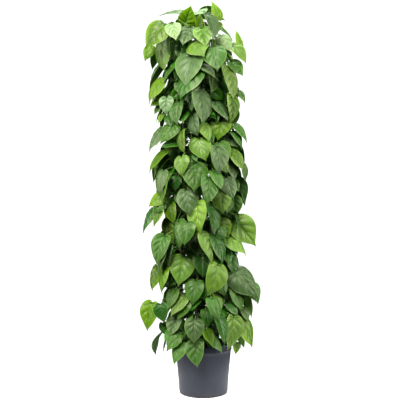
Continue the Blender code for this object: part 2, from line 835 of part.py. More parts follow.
def leaf_shape(leaf):
    """Closed solid of a blade with its petiole: thin at the edge, thicker where the petiole joins."""
    shape = bmesh.new()
    front = blade_layer(shape, leaf, 1.0, PETIOLE_WIDTH / leaf["width"])
    back = blade_layer(shape, leaf, -1.0, 0.0)
    for upper, lower in zip(front, back):
        for index in range(len(upper) - 1):
            shape.faces.new((upper[index], upper[index + 1], lower[index + 1], lower[index]))
    neck = (front[0][0], front[1][0], back[0][0])
    root = petiole_root(shape, leaf)
    for corner in range(3):
        after = (corner + 1) % 3
        shape.faces.new((neck[corner], neck[after], root[after], root[corner]))
    shape.faces.new(root)
    bmesh.ops.triangulate(shape, faces=shape.faces)
    return shape


def build_vine(number, vine, leaves, colour):
    name = f"vine_{number:02d}"
    item = add_object(name, stem_shape(vine), plain_material(name, colour, 0.42))
    group = new_collection(name + "_leaves")
    for leaf in leaves:
        if leaf["vine"] is vine:
            move_to(add_object("leaf", leaf_shape(leaf)), group)
    apply_boolean(item, group, "UNION", "MANIFOLD")
    smooth(item, LEAF_SMOOTH_ANGLE)
    return item


def main():
    clear_scene()
    draw = random.Random(SEED)
    vines = make_vines(draw)
    leaves = place_leaves(vines, draw)
    make_pot()
    make_soil(vines)
    make_column()
    for number, vine in enumerate(vines, start=1):
        green = 0.085 + 0.012 * (number % 3)
        build_vine(number, vine, leaves, (0.030 + 0.006 * (number % 4), green, 0.018))


main()
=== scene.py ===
"""Looks of the potted heart-leaf philodendron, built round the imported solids.

Metres, +Z up, the front of the plant faces -Y. Each vine's solid is replaced by a finer one with the
same leaves at the same places, and small leaves that the solids leave out, aerial roots and shoots are
added to it.
"""

import json
import math
import random

import bmesh
import bpy
import numpy as np
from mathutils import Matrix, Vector, noise
from mathutils.bvhtree import BVHTree

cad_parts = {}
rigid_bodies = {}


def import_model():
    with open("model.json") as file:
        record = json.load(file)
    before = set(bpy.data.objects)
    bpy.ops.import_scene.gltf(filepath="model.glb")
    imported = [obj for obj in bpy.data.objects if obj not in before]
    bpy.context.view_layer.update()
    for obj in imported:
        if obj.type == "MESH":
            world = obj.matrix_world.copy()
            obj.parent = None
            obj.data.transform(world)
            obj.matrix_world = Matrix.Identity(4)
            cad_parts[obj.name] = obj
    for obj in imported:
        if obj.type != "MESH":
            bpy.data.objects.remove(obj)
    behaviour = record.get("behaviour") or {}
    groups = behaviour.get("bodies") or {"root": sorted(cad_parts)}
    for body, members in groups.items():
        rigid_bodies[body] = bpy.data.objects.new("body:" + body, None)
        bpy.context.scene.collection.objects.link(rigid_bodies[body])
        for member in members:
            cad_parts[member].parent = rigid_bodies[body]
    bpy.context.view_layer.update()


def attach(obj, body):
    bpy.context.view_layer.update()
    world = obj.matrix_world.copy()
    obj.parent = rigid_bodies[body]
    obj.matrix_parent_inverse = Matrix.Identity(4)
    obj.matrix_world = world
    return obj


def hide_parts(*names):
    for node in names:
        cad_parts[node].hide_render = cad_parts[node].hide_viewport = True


# Pot
POT_HEIGHT = 0.240
RIM_RADIUS = 0.135
FOOT_RADIUS = 0.1145
FOOT_ROUNDING = 0.014
WALL = 0.002
BASE_THICKNESS = 0.003
BAND_BOTTOM = 0.208
BAND_STEP = 0.0035
BAND_WALL = 0.003
POT_SEGMENTS = 480
RIBS = 120
RIB_DEPTH = 0.00045
DRAIN_HOLES = 8
DRAIN_HOLE_RADIUS = 0.007
DRAIN_CIRCLE = 0.078
SLOTS = 6
SLOT_SIZE = (0.016, 0.042, 0.012)
GUARD_SEGMENTS = 32
RIB_BOTTOM = 0.006
WALL_START = 0.018
WALL_RINGS = 12
EDGE_ROUNDING = 0.0012
RIM_ROUNDING = 0.0013

# Soil
SOIL_TOP = 0.200
GAP = 0.0006
SOIL_ROUGHNESS = 0.004
SOIL_DROP = 0.002
SOIL_RINGS = 46
SOIL_SEGMENTS = 150
CRUMB_SEED = 3
CRUMBS = 420
CRUMB_SIZES = (0.0012, 0.0036)
CRUMB_JITTER = 0.2

# Mesh column, leaning a little to the left of the pot's axis
LEAN = 0.026
CAGE_RADIUS = 0.088
CAGE_SIDES = 8
CAGE_BOTTOM = 0.150
CAGE_TOP = 1.715
CAGE_THICKNESS = 0.003
NET_ROWS = 76
NET_COLUMNS = 28
NET_STRAND = 0.0026
NET_THICKNESS = 0.0018

# Vines
VINES = 12
STEM_REACH = 0.097
STEM_BOTTOM = 0.135
STEM_TOPS = (1.66, 1.79)
STEM_RADII = (0.0045, 0.0022)
STEM_STEPS = 8
STEM_SIDES = 4
TWIST = math.radians(35.0)
CROWN_START = 1.735
CROWN_PULL = 0.8
SHORTEST_BEND = 0.005
NODE_SPACING = 0.062
NODE_LENGTH = 0.006
STEM_SWELLING = (0.82, 0.35)
STEM_RING_STEP = 0.012
FINE_STEM_SIDES = 8

# Leaves as the solids have them: half outlines as shares of half the width and of the length
LARGE_OUTLINE = ((0.48, -0.10), (0.93, 0.05), (0.96, 0.42), (0.50, 0.78))
SMALL_OUTLINE = ((0.56, -0.10), (1.0, 0.20), (0.70, 0.65))
LARGE_LEAF = 0.138
WIDTH_TO_LENGTH = 0.84
ARCH = 0.05
LARGEST_BREADTH = 0.125
FOLD_RANGE = (-14.0, 16.0)
CLEARANCE = 0.0016

# Petioles: how far above its blade's base one leaves the stem, and what makes one stem better than another
PETIOLE_CLEARANCE = 0.003
ROOT_RISES = (0.030, 0.045, 0.015, 0.060, 0.0, -0.015, -0.03)
ROOT_ABOVE_SOIL = 0.030
ROOT_BELOW_TOP = 0.004
ROOT_SPACING = 0.009
ROOT_NEIGHBOURS = 0.054
ROOT_CLEAR = 0.007
LEAST_LEAN = 0.28
NEIGHBOUR_COST = 0.008
CROWDING_COST = 0.5
LEAN_COST = 0.5
STEM_RANKS = 3

# Where the blades hang: distance of a blade's base from the column's middle
SHELL = 0.140
SHELL_TAPER_START = 1.60
SHELL_TAPER = 0.45
OVER_RIM = 0.330
RIM_CLEARANCE = 0.160
OUTER_SHELL = 0.235
LEAST_DEPTH = 0.020
STEP_OUT = 0.006
RULE_STEPS = 6
STEPS_BEHIND = 8
NARROWING = (1.0, 0.85, 0.7)

# Front leaves, in millimetres, read where each line of sight meets the upright plane of the pot's axis:
# base across, base height, tip across, tip height, breadth seen, and the leaf's tone
VIEW_POINT = Vector((-0.016, -3.6, 0.92))
LEAST_NOD = math.radians(16.0)
FACING_REACH = 0.20
SIDES_FIRST = 0.35
FRONT_LEAVES = (
    # Crown
    (-190, 1760, -275, 1640, 105, "E"),
    (-195, 1690, -180, 1525, 80, "L"),
    (-250, 1655, -285, 1585, 55, "Y"),
    (-150, 1760, -130, 1675, 80, "P"),
    (-175, 1725, -160, 1605, 45, "D"),
    (-85, 1765, -55, 1835, 85, "Y"),
    (-15, 1745, -15, 1810, 40, "Y"),
    (20, 1810, 60, 1680, 55, "B"),
    (75, 1785, 40, 1870, 50, "Y"),
    (75, 1770, 75, 1725, 30, "Y"),
    (90, 1705, 130, 1625, 65, "P"),
    (180, 1655, 155, 1735, 30, "Y"),
    (135, 1660, 210, 1570, 55, "L"),
    (-5, 1740, 10, 1640, 95, "L"),
    (-40, 1680, 0, 1585, 120, "L"),
    # Upper column
    (-50, 1615, -90, 1450, 125, "B"),
    (50, 1650, 60, 1525, 115, "M"),
    (-40, 1540, -115, 1390, 95, "D"),
    (-15, 1560, 60, 1500, 40, "B"),
    (135, 1580, 190, 1510, 60, "M"),
    (120, 1550, 145, 1390, 65, "L"),
    (170, 1440, 200, 1385, 30, "M"),
    (-15, 1445, -5, 1270, 95, "B"),
    (60, 1385, 120, 1295, 50, "B"),
    (135, 1415, 130, 1285, 60, "E"),
    (-175, 1410, -175, 1325, 70, "P"),
    (-210, 1480, -240, 1385, 45, "P"),
    (-205, 1500, -265, 1380, 55, "Y"),
    (-195, 1405, -255, 1365, 45, "Y"),
    (-115, 1385, -125, 1270, 60, "M"),
    (-55, 1435, -60, 1335, 65, "D"),
    (-215, 1360, -235, 1330, 25, "M"),
    # Above the middle
    (-140, 1280, -205, 1185, 70, "M"),
    (-205, 1260, -260, 1145, 40, "B"),
    (-190, 1330, -215, 1285, 25, "Y"),
    (-160, 1325, -150, 1265, 60, "D"),
    (-100, 1245, -90, 1135, 40, "E"),
    (-120, 1190, -205, 1170, 40, "D"),
    (-25, 1215, 5, 1100, 105, "L"),
    (-50, 1320, -25, 1215, 60, "B"),
    (0, 1285, 30, 1195, 60, "L"),
    (90, 1315, 70, 1200, 100, "Y"),
    (125, 1285, 125, 1245, 40, "Y"),
    (150, 1280, 210, 1195, 35, "M"),
    (140, 1245, 185, 1160, 35, "M"),
    (110, 1230, 180, 1165, 50, "B"),
    (65, 1170, 75, 1035, 85, "B"),
    (115, 1120, 155, 1010, 65, "B"),
    (135, 1155, 190, 1055, 55, "E"),
    (190, 1095, 200, 1000, 30, "M"),
    (-160, 1155, -265, 1045, 35, "E"),
    (-170, 1125, -240, 1025, 35, "M"),
    (-105, 1125, -100, 1030, 70, "L"),
    (-40, 1090, -35, 955, 125, "M"),
    (-195, 1055, -215, 945, 55, "B"),
    (-170, 1035, -195, 890, 35, "L"),
    (-125, 1030, -140, 960, 55, "D"),
    # Middle
    (-195, 940, -265, 890, 60, "Y"),
    (-185, 910, -245, 860, 55, "M"),
    (-245, 875, -290, 760, 30, "D"),
    (-205, 865, -240, 790, 35, "E"),
    (-155, 895, -140, 805, 60, "E"),
    (-80, 965, -65, 840, 105, "B"),
    (-30, 900, -10, 755, 95, "G"),
    (25, 1025, 15, 895, 85, "M"),
    (85, 960, 90, 850, 95, "L"),
    (50, 1055, 85, 965, 55, "M"),
    (135, 1015, 170, 955, 40, "M"),
    (110, 1015, 120, 970, 50, "D"),
    (145, 930, 155, 835, 80, "M"),
    (150, 820, 250, 695, 125, "L"),
    (30, 890, 55, 750, 60, "D"),
    (75, 785, 100, 730, 55, "D"),
    (-165, 830, -135, 700, 60, "E"),
    (-120, 815, -115, 675, 60, "M"),
    (-75, 810, -85, 700, 85, "M"),
    # Below the middle
    (-190, 745, -230, 610, 85, "M"),
    (-190, 730, -215, 555, 40, "B"),
    (-225, 600, -250, 480, 50, "E"),
    (-185, 610, -205, 470, 45, "Y"),
    (-155, 590, -195, 485, 60, "B"),
    (-160, 695, -165, 595, 45, "B"),
    (-95, 645, -120, 510, 120, "L"),
    (10, 760, 35, 615, 60, "L"),
    (50, 745, 95, 610, 60, "D"),
    (110, 745, 210, 660, 65, "L"),
    (150, 580, 260, 445, 120, "B"),
    (225, 515, 265, 420, 65, "M"),
    (125, 650, 145, 560, 55, "D"),
    (145, 500, 185, 385, 65, "M"),
    (70, 605, 25, 455, 105, "L"),
    (-35, 530, -55, 420, 90, "M"),
    (40, 445, 65, 345, 75, "M"),
    (-90, 460, -155, 360, 65, "L"),
    (-80, 440, -120, 345, 60, "M"),
    (-140, 490, -170, 395, 55, "M"),
    # Foot of the column
    (-205, 420, -185, 330, 70, "D"),
    (-245, 425, -265, 290, 85, "Y"),
    (-195, 330, -180, 270, 45, "D"),
    (-120, 365, -165, 265, 70, "B"),
    (-120, 275, -175, 195, 60, "M"),
    (-105, 235, -145, 135, 65, "M"),
    (-40, 345, -50, 235, 95, "B"),
    (-30, 245, -35, 120, 90, "M"),
    (15, 300, 40, 220, 50, "E"),
    (35, 275, 90, 190, 50, "M"),
    (65, 365, 105, 225, 55, "D"),
    (145, 355, 115, 200, 85, "L"),
    (180, 355, 240, 210, 70, "E"),
    (155, 235, 155, 180, 35, "L"),
    (120, 425, 165, 365, 45, "D"),
    (185, 400, 215, 335, 40, "B"),
    (10, 390, 25, 310, 55, "D"),
)

# Leaves of the sides, the back, the crown's top and the dark middle, by rule
SEED = 11
ROW_STEP = 0.090
ROWS_FROM = 0.300
ROWS_TO = 1.700
PER_ROW = 15
ATTEMPTS = 5
FRONT_SECTOR = math.radians(50.0)
RULE_LENGTHS = (0.105, 0.145)
ANGLE_SPREAD = 0.12
HEIGHT_SPREAD = 0.020
REACH_SPREAD = 0.015
NOD_RANGE = (0.15, 0.55)
LEAN_SPREAD = 0.45
TURN_SPREAD = 0.6
FACE_UP = 0.2
CROWN_LEAN = 0.3
CROWN_CLIMB = 0.5
CROWN_RINGS = (
    # First angle, reach, height, nod from hanging, leaves
    (0.2, 0.025, 1.805, 1.35, 4),
    (0.9, 0.060, 1.785, 1.20, 7),
    (0.0, 0.100, 1.755, 0.90, 11),
    (0.3, 0.125, 1.700, 0.60, 13),
)
INNER_SHELL = 0.125
INNER_LENGTHS = (0.085, 0.110)
MIDDLE = 0.4
MIDDLE_OUT = 0.030
NEAR = 0.080
FACING = 0.6

# Small leaves that the solids leave out, close to the stems and inside the column
FILL_SEED = 5
FILL_ROWS = (0.27, 1.74)
FILL_ROW_STEP = 0.035
FILL_PER_ROW = 14
FILL_REACH = (0.104, 0.128)
FOOT_TOP = 0.44
FOOT_REACH = (0.104, 0.165)
FILL_LENGTHS = (0.055, 0.088)
FILL_ATTEMPTS = 6
INSIDE_ROWS = (0.25, 1.66)
INSIDE_ROW_STEP = 0.055
INSIDE_PER_ROW = 4
INSIDE_REACH = (0.015, 0.068)
TOP_REACH = (0.02, 0.09)
FILL_NODS = (0.05, 0.9)
FILL_LEAN = 0.9
FILL_TURN = 1.3
FILL_ASIDE = 0.5
FILL_RISE = 0.4

# Thin shoots that stick out: start and end in millimetres across, in depth and in height
SHOOTS = (
    ((0, -40, 1760), (22, -60, 1872)),
    ((-45, -90, 1745), (-165, -120, 1780)),
    ((-110, -70, 1235), (-276, -90, 1298)),
    ((-110, -70, 1225), (-252, -80, 1246)),
    ((100, -60, 1360), (196, -80, 1402)),
    ((-120, -60, 1620), (-284, -80, 1628)),
    ((45, -60, 1740), (112, -70, 1798)),
    ((-100, 60, 900), (-190, 100, 960)),
    ((60, 80, 1180), (120, 190, 1225)),
)
SHOOT_SAG = 0.012
SHOOT_RADII = (0.0016, 0.0005)
SHOOT_STEPS = 16
SHOOT_SIDES = 6

# Aerial roots
AERIAL_ROOTS = 7
AERIAL_TURN = 1.2
AERIAL_LENGTHS = (0.02, 0.055)
AERIAL_RADII = (0.0010, 0.0004)
AERIAL_STEPS = 6
AERIAL_SIDES = 5

# Fine leaves: half outline from the petiole round the lobe to the tip
FINE_OUTLINE = (
    (0.0, 0.0), (0.06, -0.040), (0.16, -0.080), (0.31, -0.106), (0.50, -0.102), (0.69, -0.062),
    (0.85, 0.010), (0.965, 0.115), (1.01, 0.235), (0.99, 0.355), (0.905, 0.475), (0.755, 0.59),
    (0.565, 0.695), (0.375, 0.785), (0.205, 0.858), (0.098, 0.915), (0.040, 0.965), (0.0, 1.0),
)
VEINS = 6.5
VEIN_SWEEP = 2.5
FINE_GRID = (39, 7)
SMALL_GRID = (14, 3)
BLADE_MIDDLE = 0.0007
BLADE_EDGE = 0.0003
QUILT = 0.032
BULGE = 0.042
WAVE = 0.014
CURL = 0.9
PEAK = 0.35
GROOVE_DEPTH = 0.0010
TIP_START = 0.78
PETIOLE_SHARES = (0.0, 0.12, 0.85, 1.0)
PETIOLE_RADII = (0.0021, 0.0012, 0.0012, 0.0016)
PETIOLE_STEPS = 9
PETIOLE_SIDES = 6

# What differs from leaf to leaf, in the order drawn: size, and least and greatest share of it
LEAF_DRAWS = {
    "curl": (CURL, 0.2, 1.5),
    "quilt": (QUILT, 0.5, 1.5),
    "phase": (1.0, 0.0, math.tau),
    "arch": (ARCH, 1.0, 1.6),
    "bulge": (BULGE, 0.3, 1.4),
    "sway": (1.0, -0.07, 0.07),
}
VALUE_RANGE = (0.86, 1.14)
WARM_RANGE = (-0.06, 0.06)
PLAIN_EDGES = (0.0, 0.35)
VINE_SEED = 100

# Tones of leaves: pale, light, mid, dark, yellow-green, bluish, edged with yellow-green, bright, and
# the deep green of painted shade for leaves deep in the foliage. Pale and bluish are partly the leaves' own
# colour and partly painted sheen, and dark is partly their own deeper green and partly painted shade
TONES = {
    # Pale: partly painted sheen
    "P": (0.228, 0.335, 0.150),
    "L": (0.142, 0.256, 0.034),
    "M": (0.058, 0.157, 0.018),
    # Dark: partly painted shade for leaves that hang in shadow
    "D": (0.021, 0.108, 0.006),
    "Y": (0.140, 0.268, 0.004),
    # Bluish: partly painted sheen
    "B": (0.086, 0.153, 0.050),
    "E": (0.092, 0.186, 0.007),
    "G": (0.205, 0.335, 0.030),
    # Painted shade: a deep green that stands in for the shade inside the foliage
    "S": (0.030, 0.172, 0.001),
}
EDGED = "E"
RULE_TONES = "MMMMLLLBBBDDDYEP"
# The small filling leaves take the painted-shade tones
FILL_SHADE_TONES = "SSSD"

# Camera, floor and lights: name, place, target, size, watts and colour
LENS = 67.7
SENSOR = 36.0
FLOOR_RADIUS = 1.6
FLOOR_DROP = 0.0005
LIGHTS = (
    ("key", (-1.1, -3.1, 3.6), (0.0, 0.0, 0.8), (1.6, 1.6), 290.0, (1.0, 1.0, 0.98)),
    ("top", (0.3, 0.2, 4.3), (0.0, 0.0, 0.8), (2.6, 2.6), 150.0, (0.95, 0.98, 1.0)),
    ("left", (-3.3, -0.3, 1.7), (0.0, 0.0, 0.8), (1.8, 3.0), 140.0, (1.0, 0.99, 0.97)),
    ("right", (3.3, -0.2, 1.6), (0.0, 0.0, 0.8), (1.8, 3.0), 135.0, (1.0, 0.99, 0.97)),
    ("front", (2.0, -3.6, 3.0), (0.0, 0.0, 0.9), (2.0, 2.0), 95.0, (1.0, 0.99, 0.97)),
    ("behind", (0.3, 3.6, 3.0), (0.0, 0.0, 1.1), (2.4, 2.4), 130.0, (1.0, 0.99, 0.95)),
)


# Scene and meshes

def new_object(name, mesh, *materials):
    item = bpy.data.objects.new(name, mesh)
    bpy.context.scene.collection.objects.link(item)
    for material in materials:
        mesh.materials.append(material)
    return item


def bmesh_object(name, shape, *materials):
    bmesh.ops.recalc_face_normals(shape, faces=shape.faces)
    mesh = bpy.data.meshes.new(name)
    shape.to_mesh(mesh)
    shape.free()
    return new_object(name, mesh, *materials)


def smooth(item, degrees):
    item.data.shade_smooth()
    item.data.set_sharp_from_angle(angle=math.radians(degrees))


def turned(profile, segments):
    """Body of revolution round Z from an open profile that starts and ends on the axis."""
    shape = bmesh.new()
    vertices = [shape.verts.new((radius, 0.0, height)) for radius, height in profile]
    edges = [shape.edges.new(pair) for pair in zip(vertices, vertices[1:])]
    bmesh.ops.spin(
        shape, geom=vertices + edges, cent=(0, 0, 0), axis=(0, 0, 1),
        angle=math.tau, steps=segments, use_merge=True,
    )
    bmesh.ops.remove_doubles(shape, verts=shape.verts, dist=1e-6)
    return shape


def join_rings(shape, rings):
    """Faces between closed rings of vertices, each ring with the next."""
    for lower, upper in zip(rings, rings[1:]):
        for side in range(len(lower)):
            after = (side + 1) % len(lower)
            shape.faces.new((lower[side], lower[after], upper[after], upper[side]))


def tube(points, radii, sides):
    """Closed tube along points, with level rings; it suits paths that climb."""
    shape = bmesh.new()
    rings = []
    for point, radius in zip(points, radii):
        ring = []
        for side in range(sides):
            angle = math.tau * (side + 0.5) / sides
            ring.append(shape.verts.new(point + Vector((math.cos(angle), math.sin(angle), 0.0)) * radius))
        rings.append(ring)
    join_rings(shape, rings)
    shape.faces.new(rings[0])
    shape.faces.new(rings[-1])
    return shape


# Placing the leaves, as the solids do

def wall_radius(height):
    """Outside of the tapered wall below the rim band."""
    top = RIM_RADIUS - BAND_STEP
    return FOOT_RADIUS + (top - FOOT_RADIUS) * height / BAND_BOTTOM


def axis_at(height):
    """Middle of the column at a height."""
    return Vector((-LEAN * (height - SOIL_TOP), 0.0, height))


def outward(angle):
    """Level direction away from the column: 0 is the front and a right angle is the right side."""
    return Vector((math.sin(angle), -math.cos(angle), 0.0))


def make_vines(draw):
    """Angle at the pot's floor and top height of each vine."""
    vines = []
    for number in range(VINES):
        angle = math.tau * number / VINES
        vines.append({"angle": angle, "top": draw.uniform(*STEM_TOPS), "roots": []})
    return vines


def vine_point(vine, height):
    """Middle of a stem at a height: up the column with a slight twist, and inward over its top."""
    reach = STEM_REACH - CROWN_PULL * max(0.0, height - CROWN_START)
    return axis_at(height) + outward(vine["angle"] + TWIST * height) * reach


def stem_heights(vine):
    """Heights of a stem's rings: even steps up to the bend over the column's top, then the tip."""
    straight = min(vine["top"], CROWN_START)
    heights = [STEM_BOTTOM + (straight - STEM_BOTTOM) * step / STEM_STEPS for step in range(STEM_STEPS + 1)]
    if vine["top"] > CROWN_START + SHORTEST_BEND:
        heights.append(vine["top"])
    return heights


def stem_radius(vine, height):
    share = (height - STEM_BOTTOM) / (vine["top"] - STEM_BOTTOM)
    return STEM_RADII[0] + (STEM_RADII[1] - STEM_RADII[0]) * share


def stem_shape(vine, extra):
    heights = stem_heights(vine)
    points = [vine_point(vine, height) for height in heights]
    slimming = (STEM_RADII[1] - STEM_RADII[0]) / (heights[-1] - heights[0])
    radii = [STEM_RADII[0] + slimming * (height - heights[0]) + extra for height in heights]
    return tube(points, radii, STEM_SIDES)


def shell_radius(height):
    """Distance of the innermost blade bases from the column's middle."""
    if height < OVER_RIM:
        return RIM_CLEARANCE
    return SHELL - SHELL_TAPER * max(0.0, height - SHELL_TAPER_START)


def half_outline(leaf):
    return LARGE_OUTLINE if leaf["length"] >= LARGE_LEAF else SMALL_OUTLINE


def leaf_lift(leaf, across, along):
    """Height of the blade above the chord from its base to its tip: an arch and a fold at the midrib."""
    arch = ARCH * leaf["length"] * 4.0 * max(0.0, along) * (1.0 - along)
    return arch - math.tan(leaf["fold"]) * abs(across) * leaf["width"] / 2


def leaf_point(leaf, across, along, lift=0.0):
    """Place on a leaf, across in half widths and along in lengths."""
    return (
        leaf["base"]
        + leaf["side"] * (across * leaf["width"] / 2)
        + leaf["along"] * (along * leaf["length"])
        + leaf["face"] * lift
    )


def root_choices(leaf, vine):
    """Possible roots on a stem, best first, each with how far its petiole leans off the blade's plane."""
    rises = ROOT_RISES if leaf["along"].z < 0 else tuple(-rise for rise in ROOT_RISES)
    lowest = SOIL_TOP + ROOT_ABOVE_SOIL
    highest = vine["top"] - ROOT_BELOW_TOP
    for rise in rises:
        height = min(max(leaf["base"].z + rise, lowest), highest)
        root = vine_point(vine, height)
        yield height, root, (root - leaf["base"]).normalized().dot(-leaf["along"])


def choose_root(leaf, vines, rank):
    """Stem and height that the petiole grows from, apart from that stem's other petioles.

    Rank 0 takes the best stem, rank 1 the next best.
    """
    choices = []
    for vine in vines:
        best = None
        for height, root, lean in root_choices(leaf, vine):
            crowding = sum(abs(height - used) < ROOT_SPACING for used in vine["roots"])
            neighbours = sum(abs(height - used) < ROOT_NEIGHBOURS for used in vine["roots"])
            cost = (root - leaf["base"]).length + NEIGHBOUR_COST * neighbours + CROWDING_COST * crowding
            cost += LEAN_COST * max(0.0, LEAST_LEAN - lean)
            if best is None or cost < best[0]:
                best = (cost, vine, height, root)
        choices.append(best)
    best = sorted(choices, key=lambda choice: choice[0])[rank]
    leaf["vine"] = best[1]
    leaf["root_height"] = best[2]
    leaf["root"] = best[3]


def finish_leaf(leaf, vines, rank=0):
    """Complete the directions of a leaf whose base, along, face and size are set."""
    along = leaf["along"].normalized()
    face = leaf["face"] - along * leaf["face"].dot(along)
    leaf["along"] = along
    leaf["face"] = face.normalized()
    leaf["side"] = along.cross(leaf["face"])
    choose_root(leaf, vines, rank)


def front_depth(row, reach):
    """Place along Y at which a front leaf's base is as far from the column's middle as asked, or nearly."""
    off = row[0] / 1000.0 - axis_at(row[1] / 1000.0).x
    return -math.sqrt(max(reach ** 2 - off ** 2, LEAST_DEPTH ** 2))


def front_leaf(row, fold, depth, vines, rank):
    """Leaf of the front list, its base on its line of sight at a place along Y."""
    base_across, base_height, tip_across, tip_height, breadth = (value / 1000.0 for value in row[:5])
    off = base_across - axis_at(base_height).x
    nearer = (depth - VIEW_POINT.y) / -VIEW_POINT.y
    base = VIEW_POINT.lerp(Vector((base_across, 0.0, base_height)), nearer)
    seen = Vector((tip_across - base_across, 0.0, tip_height - base_height)) * nearer
    breadth = min(breadth, LARGEST_BREADTH) * nearer
    facing = min(1.0, abs(off) / FACING_REACH)
    least_nod = LEAST_NOD * (1.0 - facing)
    length = max(seen.length / math.cos(least_nod), breadth / WIDTH_TO_LENGTH)
    along = seen - Vector((0.0, math.sqrt(length ** 2 - seen.length ** 2), 0.0))
    width = length * WIDTH_TO_LENGTH
    turn = math.acos(min(1.0, breadth / width))
    along.normalize()
    view = (VIEW_POINT - base).normalized()
    face = (view - along * view.dot(along)).normalized()
    side = along.cross(face)
    if side.x * off < 0:
        side = -side
    face = face * math.cos(turn) + side * math.sin(turn)
    leaf = {"base": base, "along": along, "face": face, "length": length, "width": width, "fold": fold}
    leaf["tone"] = row[5]
    finish_leaf(leaf, vines, rank)
    return leaf


def rule_leaf(angle, height, reach, nod, lean, turn, length, fold, vines):
    """Leaf hanging from a place round the column."""
    base = axis_at(height) + outward(angle) * reach
    across = outward(angle + math.pi / 2)
    along = outward(angle) * math.sin(nod) + Vector((0.0, 0.0, -math.cos(nod))) + across * math.tan(lean)
    face = outward(angle + turn) + Vector((0.0, 0.0, FACE_UP))
    leaf = {
        "base": base, "along": along, "face": face, "length": length,
        "width": length * WIDTH_TO_LENGTH, "fold": fold,
    }
    finish_leaf(leaf, vines)
    return leaf


def guard_tree(leaf):
    """Slightly fat stand-in for a leaf and the free part of its petiole, to keep leaves apart."""
    half = half_outline(leaf)
    outline = [(0.0, 0.0), *half, (0.0, 1.0)]
    outline += [(-across, along) for across, along in reversed(half)]
    front = []
    back = []
    for across, along in outline:
        lift = leaf_lift(leaf, across, along)
        front.append(leaf_point(leaf, across, along, lift + CLEARANCE))
        back.append(leaf_point(leaf, across, along, lift - CLEARANCE))
    middle = leaf_point(leaf, 0.0, MIDDLE, leaf_lift(leaf, 0.0, MIDDLE) + CLEARANCE)
    count = len(outline)
    points = front + back + [middle]
    faces = [(point, (point + 1) % count, 2 * count) for point in range(count)]
    faces += [(count, count + point, count + point + 1) for point in range(1, count - 1)]
    for point in range(count):
        after = (point + 1) % count
        faces.append((point, after, count + after, count + point))
    start = len(points)
    free = leaf["root"] + (leaf["base"] - leaf["root"]).normalized() * ROOT_CLEAR
    for centre in (leaf["base"], free):
        for spread in ((1, 0), (0, 1), (-1, 0), (0, -1)):
            aside = leaf["side"] * spread[0] + leaf["face"] * spread[1]
            points.append(centre + aside * PETIOLE_CLEARANCE)
    for corner in range(4):
        after = (corner + 1) % 4
        faces.append((start + corner, start + after, start + 4 + after, start + 4 + corner))
    return guard(points, faces, leaf["vine"])


def guard(points, faces, owner):
    low = Vector(min(point[axis] for point in points) for axis in range(3))
    high = Vector(max(point[axis] for point in points) for axis in range(3))
    return {"tree": BVHTree.FromPolygons(points, faces), "low": low, "high": high, "owner": owner}


def shape_guard(shape, owner):
    shape.verts.index_update()
    points = [vertex.co.copy() for vertex in shape.verts]
    faces = [[vertex.index for vertex in face.verts] for face in shape.faces]
    shape.free()
    return guard(points, faces, owner)


def touches(one, other):
    for axis in range(3):
        if one["low"][axis] > other["high"][axis] or other["low"][axis] > one["high"][axis]:
            return False
    return bool(one["tree"].overlap(other["tree"]))


def is_free(mine, leaf_guards, fixed_guards):
    if any(touches(mine, other) for other in leaf_guards):
        return False
    return not any(touches(mine, other) for other in fixed_guards if other["owner"] is not mine["owner"])


def settle(slides, leaf_guards, fixed_guards):
    """Slide a leaf in from outside until it would touch; a slide lists its places from the outermost in.

    The first slide with a free place is taken, and the leaf stays at the innermost place reached.
    """
    for slide in slides:
        found = None
        for leaf in slide:
            mine = guard_tree(leaf)
            if is_free(mine, leaf_guards, fixed_guards):
                found = (leaf, mine)
            elif found:
                break
        if found:
            leaf, mine = found
            leaf_guards.append(mine)
            leaf["vine"]["roots"].append(leaf["root_height"])
            return leaf
    return None


def front_slides(row, fold, vines):
    """Slides of a front leaf along its line of sight, then of one turned further from the viewer."""
    inner = front_depth(row, shell_radius(row[1] / 1000.0))
    outer = front_depth(row, OUTER_SHELL)
    beside = abs(row[0]) > 1000.0 * SHELL
    inward = [inner - STEP_OUT * step for step in range(int((inner - outer) / STEP_OUT), -1, -1)]
    behind = [inner + STEP_OUT * step for step in range(1, STEPS_BEHIND)] if beside else []
    for factor in NARROWING:
        narrowed = row[:4] + (row[4] * factor, row[5])
        for rank in range(STEM_RANKS):
            for depths in (inward, behind):
                yield (front_leaf(narrowed, fold, depth, vines, rank) for depth in depths)


def rule_slides(places, vines):
    """Slides of a leaf at a few drawn places."""
    for angle, height, reach, nod, lean, turn, length, fold, climb in places:
        yield (
            rule_leaf(
                angle, height + STEP_OUT * step * climb, reach + STEP_OUT * step * (1.0 - climb),
                nod, lean, turn, length, fold, vines,
            )
            for step in range(RULE_STEPS, -1, -1)
        )


def drawn_place(draw, angle, height, inner):
    """One draw of a hanging leaf near an angle and a height."""
    angle += draw.uniform(-ANGLE_SPREAD, ANGLE_SPREAD)
    height += draw.uniform(-HEIGHT_SPREAD, HEIGHT_SPREAD)
    length = draw.uniform(*(INNER_LENGTHS if inner else RULE_LENGTHS))
    reach = shell_radius(height) + draw.uniform(0.0, REACH_SPREAD)
    if inner and height >= OVER_RIM:
        reach = INNER_SHELL
    nod = draw.uniform(*NOD_RANGE)
    fold = math.radians(draw.uniform(*FOLD_RANGE))
    lean = draw.uniform(-LEAN_SPREAD, LEAN_SPREAD)
    turn = draw.uniform(-TURN_SPREAD, TURN_SPREAD)
    return angle, height, reach, nod, lean, turn, length, fold, 0.0


def is_bare(place, placed):
    """Whether no leaf that faces the same way already covers a drawn place."""
    angle, height, reach, length = place[0], place[1], place[2], place[6]
    middle = axis_at(height) + outward(angle) * (reach + MIDDLE_OUT) - Vector((0.0, 0.0, MIDDLE * length))
    facing = [leaf for leaf in placed if abs(leaf["face"].dot(outward(angle))) > FACING]
    return all((leaf_point(leaf, 0.0, MIDDLE) - middle).length > NEAR for leaf in facing)


